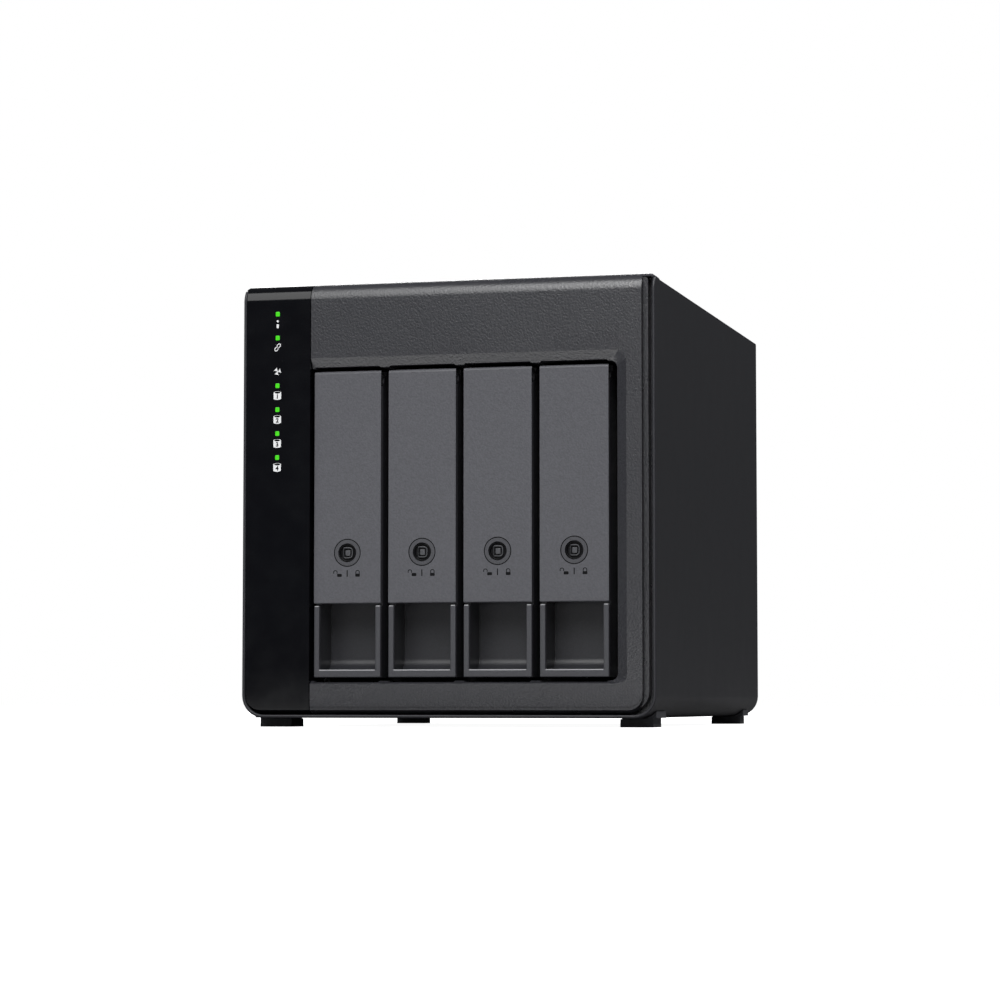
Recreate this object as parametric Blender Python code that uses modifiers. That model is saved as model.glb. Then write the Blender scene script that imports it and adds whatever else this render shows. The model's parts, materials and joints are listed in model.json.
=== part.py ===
"""Four-bay desktop disk enclosure, as an assembly of separate pieces.

Units are metres, +Z is up, the front faces -Y, and the origin is under the middle of the case, on the
surface that the feet stand on.
"""

from math import atan2, cos, radians, sin

import bmesh
import bpy
from mathutils import Matrix, Vector

MM = 0.001
GAP = 0.3 * MM  # clearance between neighbouring pieces

# Case
WIDTH = 160 * MM
DEPTH = 219 * MM
FOOT_HEIGHT = 3.4 * MM
CASE_HEIGHT = 164.6 * MM  # underside of the case to the top of the bezel
SHEET = 1.2 * MM
LOWER_CORNER = 8.5 * MM  # outer radius of the two lower edges
COVER_DROP = 1.9 * MM  # the metal case ends this far below the top of the bezel
SHELL_SET_BACK = 0.4 * MM  # front edge of the metal case behind the face
WELD = 0.02 * MM  # small offset that keeps joined solids from sharing a plane

FRONT = -DEPTH / 2
REAR = DEPTH / 2
BASE = FOOT_HEIGHT
TOP = BASE + CASE_HEIGHT
INSIDE = WIDTH / 2 - SHEET
CASE_TOP = TOP - COVER_DROP

# Front: bezel and indicator column
FRONT_DEPTH = 13 * MM
FRONT_WALL = 2.2 * MM
ROLL = 6.5 * MM  # radius of the rounded top edge
FACE_RIGHT = 75 * MM
FACE_BOTTOM = BASE + 4.2 * MM
FACE_CORNER = 5.6 * MM
LEDGE_SET_BACK = 3 * MM
LEDGE_RIGHT = 1.9 * MM
LEDGE_BELOW = 1.4 * MM
LEDGE_TOP = TOP - 1.5 * MM
SKIRT_SET_BACK = 8 * MM  # a flange behind the face reaches out to the metal case
SKIRT_TOP = CASE_TOP + GAP + 2 * WELD
SKIRT_CORNER = LOWER_CORNER - SHEET - GAP
BROW_REACH = WIDTH / 2 - 0.4 * MM  # the top of the front laps over the case's side sheets
BROW_CORNER = 2.8 * MM
SPLIT = -53 * MM  # line between the indicator column and the bezel
OPENING_RIGHT = 65.3 * MM
OPENING_BOTTOM = BASE + 13.9 * MM
OPENING_TOP = BASE + 132.1 * MM
OPENING_CHAMFER_DEPTH = 2.5 * MM
OPENING_CHAMFER_RIGHT = 3.9 * MM
OPENING_CHAMFER_TOP = 3.8 * MM
OPENING_CHAMFER_BOTTOM = 1.1 * MM
OPENING_CORNER = 2.5 * MM
SCOOP = 0.5 * MM  # extra room above and below each tray
SCOOP_HALF = 12.6 * MM

# Indicator windows, from the top down
WINDOW_X = -66.2 * MM
WINDOWS = 7
WINDOW_PITCH = 9.12 * MM
WINDOW_HEIGHTS = [BASE + 153.2 * MM - WINDOW_PITCH * place for place in range(WINDOWS)]
WINDOW_WIDTH = 1.9 * MM
WINDOW_HEIGHT = 2.05 * MM

# Trays
BAYS = 4
TRAY_PITCH = 29.28 * MM
TRAY_WIDTH = 26.2 * MM
TRAY_FIRST = -52.1 * MM + TRAY_WIDTH / 2
TRAY_CENTRES = [TRAY_FIRST + TRAY_PITCH * bay for bay in range(BAYS)]
TRAY_FACE = FRONT + 2.5 * MM
TRAY_BOTTOM = BASE + 15.2 * MM
TRAY_TOP = BASE + 131 * MM
TRAY_BOX_BACK = FRONT + 19 * MM
TRAY_END = FRONT + 165 * MM
TRAY_WALL = 2.1 * MM
TRAY_BACK_WALL = 1.5 * MM
TRAY_SIDE_OUT = 13.8 * MM  # outer face of the tray's long side plate, from the tray's centre
TRAY_SIDE_IN = 12.8 * MM
TRAY_RIGHT = 13.3 * MM
DRIVE_BOTTOM = BASE + 21.7 * MM
DRIVE_TOP = BASE + 124.4 * MM
RUNNER = 2 * MM
POCKET_TOP = BASE + 42.1 * MM
POCKET_FLOOR = BASE + 18.1 * MM
RAMP = 4.6 * MM

# Levers and locks
LEVER_BOTTOM = BASE + 43 * MM
LEVER_THICK = 2.5 * MM
LEVER_BACK = TRAY_FACE + LEVER_THICK
HINGE_Y = FRONT + 5.3 * MM
HINGE_Z = BASE + 127.4 * MM
BARREL = 2.3 * MM
PIN = 1 * MM
PIN_BORE = 1.35 * MM
LUG = 1.9 * MM
LEVER_SWEEP = 4.5 * MM  # space that the lever's top edge needs round the hinge
LOCK_Z = BASE + 62.1 * MM
LOCK_HOLE = 3.7 * MM
LOCK_RADIUS = 3.35 * MM
CAM_FRONT = FRONT + 7.2 * MM
CAM_BACK = FRONT + 8.6 * MM
CAM_REACH = 9.3 * MM

# Cage and boards
CAGE_LEFT = -54.4 * MM
CAGE_RIGHT = 65 * MM
CAGE_SHEET = 1 * MM
CAGE_TOP = BASE + 130 * MM
CAGE_FRONT = FRONT + 21 * MM
CAGE_END = FRONT + 175.5 * MM
BOARD = 1.6 * MM
BACKPLANE_FRONT = FRONT + 176.5 * MM
RIB = 0.9 * MM

# Rear
PANEL_OUT = FRONT + 215 * MM
PANEL_IN = PANEL_OUT - SHEET
FAN_SIZE = 120 * MM
FAN_DEPTH = 25 * MM
FAN_Z = BASE + 90.9 * MM
FAN_BACK = PANEL_IN - GAP
FAN_FRONT = FAN_BACK - FAN_DEPTH
FAN_BORE = 58.2 * MM
FAN_TIP = 56.4 * MM
FAN_HUB = 20 * MM
FAN_HOLES = 52.5 * MM
SCREW_HOLE = 2.15 * MM
SCREW_SHANK = 1.7 * MM
SCREW_HEAD = 3.2 * MM
GRILLE_OPENING = 57 * MM
FLANGE_BOTTOM = BASE + 152.4 * MM
COVER_SCREW_X = 62 * MM
COVER_SCREW_Z = BASE + 157.4 * MM
PORT_Z = BASE + 16.4 * MM
BUTTON_X = -46 * MM
HOST_X = 0
HOST_HALF = 4.7 * MM
JACK_X = 46 * MM
JACK_COLLAR = 4.2 * MM
BUTTON_RADIUS = 4 * MM
BUTTON_TRAVEL = 2 * MM
BUTTON_STEM = 3.5 * MM
MAIN_BOARD_TOP = BASE + 10.4 * MM
LOCK_SLOT_X = 68 * MM
LOCK_SLOT_Z = BASE + 60.4 * MM

# Feet
FOOT_X = (64 * MM, 76.5 * MM)
FOOT_SPANS = {"front": (FRONT + 12 * MM, FRONT + 26.5 * MM), "rear": (FRONT + 194 * MM, FRONT + 203.5 * MM)}
FOOT_FLANGE = 1.5 * MM
FOOT_PLATE = 0.4 * MM  # thickness of the flange under the case


def clear_scene():
    for thing in list(bpy.data.objects):
        bpy.data.objects.remove(thing, do_unlink=True)


def new_collection(name):
    collection = bpy.data.collections.new(name)
    bpy.context.scene.collection.children.link(collection)
    return collection


clear_scene()
PARTS = new_collection("disk_enclosure")
CUTTERS = new_collection("cutters")
ROOT = bpy.data.objects.new("enclosure_origin", None)
PARTS.objects.link(ROOT)


# ---------------------------------------------------------------- materials

def paint(name, colour, roughness, metallic=0.0):
    material = bpy.data.materials.new(name)
    material.use_nodes = True
    shader = material.node_tree.nodes["Principled BSDF"]
    shader.inputs["Base Color"].default_value = (*colour, 1.0)
    shader.inputs["Roughness"].default_value = roughness
    shader.inputs["Metallic"].default_value = metallic
    material.diffuse_color = (*colour, 1.0)
    return material


CASE_PAINT = paint("case_paint", (0.045, 0.046, 0.050), 0.45, 0.2)
BEZEL_PLASTIC = paint("bezel_plastic", (0.060, 0.062, 0.068), 0.6)
GLOSS_PLASTIC = paint("gloss_plastic", (0.006, 0.006, 0.008), 0.08)
TRAY_PLASTIC = paint("tray_plastic", (0.055, 0.056, 0.060), 0.55)
LEVER_PLASTIC = paint("lever_plastic", (0.105, 0.108, 0.118), 0.5)
LOCK_PLASTIC = paint("lock_plastic", (0.02, 0.02, 0.022), 0.3)
CLEAR_PLASTIC = paint("clear_plastic", (0.10, 0.75, 0.06), 0.2)
CIRCUIT_BOARD = paint("circuit_board", (0.01, 0.10, 0.04), 0.5)
SOCKET_PLASTIC = paint("socket_plastic", (0.012, 0.012, 0.012), 0.45)
ZINC_STEEL = paint("zinc_steel", (0.55, 0.56, 0.58), 0.35, 1.0)
BLACK_STEEL = paint("black_steel", (0.03, 0.03, 0.032), 0.4, 0.6)
FAN_PLASTIC = paint("fan_plastic", (0.018, 0.018, 0.02), 0.5)
FOOT_RUBBER = paint("foot_rubber", (0.03, 0.03, 0.032), 0.85)


# ---------------------------------------------------------------- shape helpers

def new_object(name, mesh, collection=CUTTERS):
    thing = bpy.data.objects.new(name, mesh)
    collection.objects.link(thing)
    return thing


def box(name, low, high):
    """A box between two corners, with its origin at its middle."""
    low = Vector(low)
    high = Vector(high)
    shape = bmesh.new()
    bmesh.ops.create_cube(shape, size=1.0)
    bmesh.ops.scale(shape, vec=high - low, verts=shape.verts)
    mesh = bpy.data.meshes.new(name)
    shape.to_mesh(mesh)
    shape.free()
    thing = new_object(name, mesh)
    thing.location = (low + high) / 2
    return thing


def tapered_box(name, front, back, y_front, y_back, corner):
    """A box whose front and back are different (left, right, bottom, top) rectangles, round at the right."""
    shape = bmesh.new()
    bmesh.ops.create_cube(shape, size=2.0)
    for vert in shape.verts:
        left, right, bottom, top = front if vert.co.y < 0 else back
        x = left if vert.co.x < 0 else right
        y = y_front if vert.co.y < 0 else y_back
        z = bottom if vert.co.z < 0 else top
        vert.co = (x, y, z)
    middle = (back[0] + back[1]) / 2
    edges = [edge for edge in shape.edges
             if abs(edge.verts[0].co.y - edge.verts[1].co.y) > MM and edge.verts[0].co.x > middle]
    bmesh.ops.bevel(shape, geom=edges, offset=corner, segments=5, affect="EDGES", profile=0.5)
    mesh = bpy.data.meshes.new(name)
    shape.to_mesh(mesh)
    shape.free()
    return new_object(name, mesh)


def cylinder(name, radius, start, end, segments=32):
    """A cylinder between two points, with its origin at its middle."""
    start = Vector(start)
    end = Vector(end)
    shape = bmesh.new()
    bmesh.ops.create_cone(shape, cap_ends=True, segments=segments, radius1=radius,
                          radius2=radius, depth=(end - start).length)
    turn = (end - start).to_track_quat("Z", "Y").to_matrix()
    bmesh.ops.rotate(shape, cent=(0, 0, 0), matrix=turn, verts=shape.verts)
    mesh = bpy.data.meshes.new(name)
    shape.to_mesh(mesh)
    shape.free()
    thing = new_object(name, mesh)
    thing.location = (start + end) / 2
    return thing


def arc(centre, radius, start, end, steps):
    """Points along an arc; the angles are in degrees."""
    turn = [radians(start + (end - start) * step / steps) for step in range(steps + 1)]
    return [(centre[0] + radius * cos(angle), centre[1] + radius * sin(angle)) for angle in turn]


def rounded_outline(left, right, bottom, top, radii, steps=6):
    """A rectangle with its own radius at each corner, from the lower left one round to the right."""
    corners = [((left, bottom), (1, 1), 180), ((right, bottom), (-1, 1), 270),
               ((right, top), (-1, -1), 0), ((left, top), (1, -1), 90)]
    points = []
    for (corner, inwards, start), radius in zip(corners, radii):
        if radius == 0:
            points.append(corner)
            continue
        centre = (corner[0] + inwards[0] * radius, corner[1] + inwards[1] * radius)
        points += arc(centre, radius, start, start + 90, steps)
    return points


def circle(centre, radius, segments):
    return arc(centre, radius, 0, 360, segments)[:-1]


def prism(name, outlines, low, high, along):
    """Closed outlines extruded along the world's X or Y axis; inner outlines are holes."""
    curve = bpy.data.curves.new(name, "CURVE")
    curve.dimensions = "2D"
    curve.fill_mode = "BOTH"
    curve.extrude = (high - low) / 2
    for outline in outlines:
        spline = curve.splines.new("POLY")
        spline.points.add(len(outline) - 1)
        for point, (across, up) in zip(spline.points, outline):
            point.co = (across, up, 0, 1)
        spline.use_cyclic_u = True
    guide = new_object(name, curve)
    middle = (low + high) / 2
    if along == "X":
        guide.matrix_world = Matrix(((0, 0, 1, middle), (1, 0, 0, 0), (0, 1, 0, 0), (0, 0, 0, 1)))
    else:
        guide.matrix_world = Matrix(((1, 0, 0, 0), (0, 0, -1, middle), (0, 1, 0, 0), (0, 0, 0, 1)))
    return meshed(guide)


def meshed(guide):
    """Turn a filled curve into a mesh object with its faces joined up."""
    bpy.context.view_layer.update()
    graph = bpy.context.evaluated_depsgraph_get()
    mesh = bpy.data.meshes.new_from_object(guide.evaluated_get(graph))
    shape = bmesh.new()
    shape.from_mesh(mesh)
    bmesh.ops.remove_doubles(shape, verts=shape.verts, dist=0.00001)
    bmesh.ops.recalc_face_normals(shape, faces=shape.faces)
    shape.to_mesh(mesh)
    shape.free()
    name = guide.name
    place = guide.matrix_world.copy()
    bpy.data.objects.remove(guide, do_unlink=True)
    thing = new_object(name, mesh)
    thing.matrix_world = place
    return thing


def bent_sheet(name, profile, low, high, along, thickness):
    """A sheet that follows a clockwise profile and is thickened inwards."""
    shape = bmesh.new()
    corners = []
    for across, up in profile:
        place = (low, across, up) if along == "X" else (across, low, up)
        corners.append(shape.verts.new(place))
    edges = [shape.edges.new(pair) for pair in zip(corners, corners[1:])]
    grown = bmesh.ops.extrude_edge_only(shape, edges=edges)["geom"]
    far = [item for item in grown if isinstance(item, bmesh.types.BMVert)]
    step = (high - low, 0, 0) if along == "X" else (0, high - low, 0)
    bmesh.ops.translate(shape, vec=step, verts=far)
    mesh = bpy.data.meshes.new(name)
    shape.to_mesh(mesh)
    shape.free()
    thing = new_object(name, mesh)
    solid = thing.modifiers.new("thickness", "SOLIDIFY")
    solid.thickness = thickness
    solid.offset = -1 if along == "X" else 1
    solid.use_even_offset = True
    return thing


def turned(name, profile, place, segments=32):
    """A round piece on an axis along Y; the profile is (radius, distance forwards) pairs."""
    mesh = bpy.data.meshes.new(name)
    shape = bmesh.new()
    corners = [shape.verts.new((radius, 0, forwards)) for radius, forwards in profile]
    for pair in zip(corners, corners[1:]):
        shape.edges.new(pair)
    shape.to_mesh(mesh)
    shape.free()
    thing = new_object(name, mesh)
    screw = thing.modifiers.new("turn", "SCREW")
    screw.steps = segments
    screw.render_steps = segments
    screw.use_merge_vertices = True
    screw.merge_threshold = 0.00001
    thing.rotation_euler = (radians(90), 0, 0)
    thing.location = place
    return thing


def combine(target, tool, how):
    """Cut, join or intersect with a hidden tool object."""
    boolean = target.modifiers.new(how.lower(), "BOOLEAN")
    boolean.operation = how
    boolean.solver = "EXACT"
    boolean.object = tool
    tool.hide_render = True
    tool.display_type = "WIRE"


def cut(target, *tools):
    for tool in tools:
        combine(target, tool, "DIFFERENCE")


def join(target, *tools):
    for tool in tools:
        combine(target, tool, "UNION")


def baked(thing, origin=(0, 0, 0)):
    """The finished mesh of an object, measured from the given origin."""
    bpy.context.view_layer.update()
    graph = bpy.context.evaluated_depsgraph_get()
    mesh = bpy.data.meshes.new_from_object(thing.evaluated_get(graph))
    mesh.transform(Matrix.Translation(-Vector(origin)) @ thing.matrix_world)
    thing.hide_render = True
    thing.display_type = "WIRE"
    return mesh


def place_piece(name, mesh, material, origin=(0, 0, 0), parent=ROOT, parent_origin=(0, 0, 0)):
    """One finished piece, with its origin in the world given, under its parent."""
    piece = new_object(name, mesh, PARTS)
    piece.data.materials.clear()
    piece.data.materials.append(material)
    piece.parent = parent
    piece.location = Vector(origin) - Vector(parent_origin)
    return piece


def single(shape, material, origin=(0, 0, 0), smooth=False):
    """Keep a piece that occurs once, under the name of its shape."""
    name = shape.name
    shape.name = name + "_shape"
    mesh = baked(shape, origin)
    if smooth:
        mesh.shade_smooth()
        mesh.set_sharp_from_angle(angle=radians(35))
    return place_piece(name, mesh, material, origin)


# ---------------------------------------------------------------- case

def case_outline(inset):
    """The lower half of the case's outline, open at the top, moved inwards by the inset."""
    side = WIDTH / 2 - inset
    radius = LOWER_CORNER - inset
    right = arc((side - radius, BASE + inset + radius), radius, 0, -90, 8)
    left = [(-x, z) for x, z in reversed(right)]
    return [(side, CASE_TOP)] + right + left + [(-side, CASE_TOP)]


def make_outer_shell():
    """Bottom and sides in one bent sheet, whose front corners follow the rounded top of the front."""
    shell = bent_sheet("outer_shell", case_outline(0), FRONT + SHELL_SET_BACK, REAR, "Y", SHEET)
    radii = (0, 0, 0, ROLL - SHELL_SET_BACK)
    profile = rounded_outline(FRONT + SHELL_SET_BACK - WELD, REAR + MM, -MM, TOP - SHELL_SET_BACK, radii, 8)
    combine(shell, prism("shell_profile", [profile], -WIDTH, WIDTH, "X"), "INTERSECT")
    single(shell, CASE_PAINT)


def make_top_cover():
    half = INSIDE - GAP
    flange = PANEL_OUT + GAP + SHEET
    profile = [(FRONT + FRONT_DEPTH + GAP, CASE_TOP), (flange, CASE_TOP), (flange, FLANGE_BOTTOM)]
    cover = bent_sheet("top_cover", profile, -half, half, "X", SHEET)
    for side in (-1, 1):
        x = side * COVER_SCREW_X
        hole = cylinder("cover_hole", SCREW_HOLE, (x, PANEL_IN, COVER_SCREW_Z), (x, REAR, COVER_SCREW_Z))
        cut(cover, hole)
    single(cover, CASE_PAINT)


def rolled_block(name, left, right, bottom, top, radii):
    """A moulding with a rounded top edge, cut to its outline seen from the front."""
    profile = rounded_outline(FRONT, FRONT + FRONT_DEPTH, FACE_BOTTOM, TOP, (0, 0, 0, ROLL), 8)
    block = prism(name, [profile], left, right, "X")
    outline = rounded_outline(left + WELD / 2, right - WELD / 2, bottom, top, radii)
    combine(block, prism(name + "_outline", [outline], FRONT - 5 * MM, FRONT + 30 * MM, "Y"), "INTERSECT")
    return block


def front_block(name, left, right, radii):
    """A front moulding up to its flat sides, still without its brow."""
    return rolled_block(name, left, right, FACE_BOTTOM + WELD / 2, TOP + ROLL, radii)


def brow(left, right, radii):
    """The top of the front where it laps over the upper edge of a side sheet."""
    block = rolled_block("brow", left, right, CASE_TOP - 2 * BROW_CORNER, TOP - WELD, radii)
    cut(block, box("case_room", (-WIDTH, FRONT - MM, BASE), (WIDTH, REAR, CASE_TOP + GAP)))
    return block


def skirt(left, right, radii, back):
    """A flange that fills the groove between the moulding and the metal case."""
    outline = rounded_outline(left, right, BASE + SHEET + GAP, SKIRT_TOP, radii)
    return prism("skirt", [outline], FRONT + SKIRT_SET_BACK, back, "Y")


def ledge(left, right, radii):
    """The step behind the face that forms a bead round it."""
    outline = rounded_outline(left, right, FACE_BOTTOM - LEDGE_BELOW, LEDGE_TOP, radii)
    return prism("ledge", [outline], FRONT + LEDGE_SET_BACK, FRONT + FRONT_DEPTH - WELD, "Y")


def make_front_bezel():
    left = SPLIT + GAP / 2
    block = front_block("front_bezel", left, FACE_RIGHT, (0, FACE_CORNER, 0, 0))
    join(block, brow(FACE_RIGHT - 6 * MM, BROW_REACH, (0, 0, BROW_CORNER, 0)))
    join(block, ledge(left + WELD, FACE_RIGHT + LEDGE_RIGHT, (0, FACE_CORNER + LEDGE_BELOW, 1.5 * MM, 0)))
    back = FRONT + FRONT_DEPTH
    join(block, skirt(left + 2 * WELD, INSIDE - GAP, (0, SKIRT_CORNER, 0, 0), back - 2 * WELD))
    beyond = left - 5 * MM
    inner = (beyond, OPENING_RIGHT, OPENING_BOTTOM, OPENING_TOP)
    outer = (beyond, OPENING_RIGHT + OPENING_CHAMFER_RIGHT, OPENING_BOTTOM - OPENING_CHAMFER_BOTTOM,
             OPENING_TOP + OPENING_CHAMFER_TOP)
    through = tapered_box("bay_opening", inner, inner, FRONT - MM, FRONT + 20 * MM, OPENING_CORNER)
    chamfer = tapered_box("bay_chamfer", outer, inner, FRONT, FRONT + OPENING_CHAMFER_DEPTH, OPENING_CORNER)
    behind = FRONT + FRONT_DEPTH + MM
    upper = box("bezel_upper_hollow", (left + FRONT_WALL, FRONT + FRONT_WALL + MM, OPENING_TOP + 4 * MM),
                (FACE_RIGHT - FRONT_WALL, behind, TOP - FRONT_WALL - MM))
    side = box("bezel_side_hollow", (OPENING_RIGHT + FRONT_WALL, FRONT + 5 * MM, OPENING_BOTTOM),
               (FACE_RIGHT - 1.8 * MM, behind, OPENING_TOP + 5 * MM))
    cut(block, through, chamfer, upper, side)
    for centre in TRAY_CENTRES:
        cut(block, scoop(centre, OPENING_TOP, SCOOP), scoop(centre, OPENING_BOTTOM, -SCOOP))
    single(block, BEZEL_PLASTIC)


def scoop(centre, edge, depth):
    """A shallow recess in the opening's upper or lower wall, over one tray, with sloping ends."""
    foot = SCOOP_HALF + 2 * abs(depth)
    outline = [(centre - foot, edge - 2 * depth), (centre + foot, edge - 2 * depth),
               (centre + SCOOP_HALF, edge + depth), (centre - SCOOP_HALF, edge + depth)]
    return prism("scoop", [outline], FRONT + MM, FRONT + FRONT_DEPTH + MM, "Y")


def make_indicator_panel():
    left = -INSIDE + GAP
    right = SPLIT - GAP / 2
    block = front_block("indicator_panel", left, right, (FACE_CORNER, 0, 0, 0))
    join(block, brow(-BROW_REACH, left + 6 * MM, (0, 0, 0, BROW_CORNER)))
    join(block, ledge(left + WELD, right - WELD, (FACE_CORNER + LEDGE_BELOW, 0, 0, 0)))
    back = FRONT + FRONT_DEPTH
    join(block, skirt(left + 2 * WELD, right - 2 * WELD, (SKIRT_CORNER, 0, 0, 0), back - 2 * WELD))
    hollow = box("panel_hollow", (left + FRONT_WALL, FRONT + FRONT_WALL, FACE_BOTTOM + 7 * MM),
                 (right - FRONT_WALL, back + MM, TOP - FRONT_WALL - MM))
    cut(block, hollow)
    for height in WINDOW_HEIGHTS:
        low = (WINDOW_X - WINDOW_WIDTH / 2, FRONT - MM, height - WINDOW_HEIGHT / 2)
        high = (WINDOW_X + WINDOW_WIDTH / 2, FRONT + 4 * MM, height + WINDOW_HEIGHT / 2)
        cut(block, box("window", low, high))
    single(block, GLOSS_PLASTIC)


def make_light_pipe():
    front = FRONT + FRONT_WALL + MM
    spine = box("light_pipe", (WINDOW_X - 1.6 * MM, front, WINDOW_HEIGHTS[-1] - 2 * MM),
                (WINDOW_X + 1.6 * MM, front + 2 * MM, WINDOW_HEIGHTS[0] + 2 * MM))
    for height in WINDOW_HEIGHTS:
        half_width = WINDOW_WIDTH / 2 - GAP
        half_height = WINDOW_HEIGHT / 2 - GAP
        prong = box("prong", (WINDOW_X - half_width, FRONT, height - half_height),
                    (WINDOW_X + half_width, front + MM, height + half_height))
        join(spine, prong)
    single(spine, CLEAR_PLASTIC)


def make_indicator_board():
    front = FRONT + FRONT_WALL + 3.6 * MM
    board = box("indicator_board", (-75 * MM, front, BASE + 88.4 * MM),
                (-57 * MM, front + BOARD, BASE + 157.4 * MM))
    single(board, CIRCUIT_BOARD)


# ---------------------------------------------------------------- cage

def make_drive_cage():
    flange = 8 * MM
    floor = BASE + SHEET + GAP + CAGE_SHEET
    profile = [(CAGE_LEFT - flange, floor), (CAGE_LEFT, floor), (CAGE_LEFT, CAGE_TOP),
               (CAGE_RIGHT, CAGE_TOP), (CAGE_RIGHT, floor), (CAGE_RIGHT + flange, floor)]
    cage = bent_sheet("drive_cage", profile, CAGE_FRONT, CAGE_END, "Y", CAGE_SHEET)
    single(cage, ZINC_STEEL)


def rib_places():
    """The middles of the ribs that stand between the trays and beside the outer ones."""
    middle = (TRAY_RIGHT + TRAY_PITCH - TRAY_SIDE_OUT) / 2
    return [centre + middle for centre in TRAY_CENTRES[:-1]]


def make_rail_guide(name, low, high, rib_low, rib_high):
    left = CAGE_LEFT + CAGE_SHEET + GAP
    right = CAGE_RIGHT - CAGE_SHEET - GAP
    guide = box(name, (left, CAGE_FRONT, low), (right, CAGE_END, high))
    for place in rib_places():
        rib = box("rib", (place - RIB / 2, CAGE_FRONT + 0.5 * MM, rib_low),
                  (place + RIB / 2, CAGE_END - 0.5 * MM, rib_high))
        join(guide, rib)
    return guide


def make_upper_rail_guide():
    bottom = DRIVE_TOP + RUNNER + GAP
    guide = make_rail_guide("upper_rail_guide", bottom, CAGE_TOP - CAGE_SHEET - GAP,
                            DRIVE_TOP - 2 * MM, bottom + MM)
    single(guide, SOCKET_PLASTIC)


def make_lower_rail_guide():
    top = DRIVE_BOTTOM - RUNNER - GAP
    floor = BASE + SHEET + GAP
    guide = make_rail_guide("lower_rail_guide", floor, top, top - MM, DRIVE_BOTTOM + 2 * MM)
    left = CAGE_LEFT + CAGE_SHEET + GAP
    right = CAGE_RIGHT - CAGE_SHEET - GAP
    hollow = box("guide_hollow", (left + 3 * MM, CAGE_FRONT - MM, floor - MM),
                 (right - 3 * MM, CAGE_END + MM, top - 2.5 * MM))
    cut(guide, hollow)
    single(guide, SOCKET_PLASTIC)


def make_backplane_board():
    board = box("backplane_board", (CAGE_LEFT + 2 * MM, BACKPLANE_FRONT, BASE + 18.4 * MM),
                (CAGE_RIGHT - 2 * MM, BACKPLANE_FRONT + BOARD, BASE + 126.4 * MM))
    for centre in TRAY_CENTRES:
        slot = box("air_slot", (centre - 11 * MM, BACKPLANE_FRONT - MM, BASE + 80.4 * MM),
                   (centre + 8 * MM, BACKPLANE_FRONT + 3 * MM, BASE + 120.4 * MM))
        cut(board, slot)
    single(board, CIRCUIT_BOARD)


def make_drive_sockets():
    length = 40 * MM
    bottom = BASE + 30.4 * MM
    back = BACKPLANE_FRONT - GAP
    front = back - 8 * MM
    origin = Vector((0, back, bottom))
    shape = box("drive_socket", (-3 * MM, front, bottom), (3 * MM, back, bottom + length))
    slot = box("socket_slot", (-1.1 * MM, front - MM, bottom + 2 * MM),
               (1.1 * MM, back - 2 * MM, bottom + length - 2 * MM))
    cut(shape, slot)
    mesh = baked(shape, origin)
    for bay, centre in enumerate(TRAY_CENTRES, start=1):
        place = origin + Vector((centre + 8 * MM, 0, 0))
        place_piece(f"drive_socket_{bay}", mesh, SOCKET_PLASTIC, place)


# ---------------------------------------------------------------- trays

def tray_shape():
    """One tray, centred on X = 0: a front box with a finger pocket, a side plate and two runners."""
    half = TRAY_WIDTH / 2
    tray = box("drive_tray", (-half, TRAY_FACE, TRAY_BOTTOM), (half, TRAY_BOX_BACK, TRAY_TOP))
    inner = half - TRAY_WALL
    cavity_back = TRAY_BOX_BACK - TRAY_BACK_WALL
    ramp = arc((cavity_back - RAMP, POCKET_FLOOR + RAMP), RAMP, -90, 0, 7)
    profile = [(TRAY_FACE - MM, POCKET_FLOOR), *ramp, (cavity_back, TRAY_TOP - RUNNER),
               (TRAY_FACE - MM, TRAY_TOP - RUNNER)]
    cavity = prism("tray_cavity", [profile], -inner, inner, "X")
    lever_room = box("lever_room", (-half - MM, TRAY_FACE - MM, POCKET_TOP),
                     (half + MM, LEVER_BACK + GAP, TRAY_TOP + MM))
    sweep = box("lever_sweep", (-half - MM, TRAY_FACE - MM, TRAY_TOP - RUNNER - 0.1 * MM),
                (half + MM, HINGE_Y + LEVER_SWEEP, TRAY_TOP + MM))
    cut(tray, cavity, lever_room, sweep)
    add_hinge_lugs(tray, half, inner)
    add_striker(tray, inner)
    add_drive_frame(tray, half)
    return tray


def add_hinge_lugs(tray, half, inner):
    """Two ears that carry the hinge pin's ends, and the pin's bore through them."""
    for side in (-1, 1):
        low, high = sorted((side * (inner + 0.05 * MM), side * (half - 0.05 * MM)))
        ear = prism("ear", [circle((HINGE_Y, HINGE_Z), LUG, 20)], low, high, "X")
        neck = box("ear_neck", (low, HINGE_Y, HINGE_Z - LUG + 0.1 * MM),
                   (high, HINGE_Y + 6 * MM, HINGE_Z + LUG - 0.1 * MM))
        join(tray, ear, neck)
    bore = prism("pin_bore", [circle((HINGE_Y, HINGE_Z), PIN_BORE, 16)], -half - MM, half + MM, "X")
    cut(tray, bore)


def add_striker(tray, inner):
    """The stop on the right wall that the lock's cam turns behind."""
    striker = box("striker", (inner - 3.4 * MM, LEVER_BACK + GAP, LOCK_Z - 4 * MM),
                  (inner + MM, CAM_FRONT - GAP, LOCK_Z + 4 * MM))
    join(tray, striker)


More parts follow.
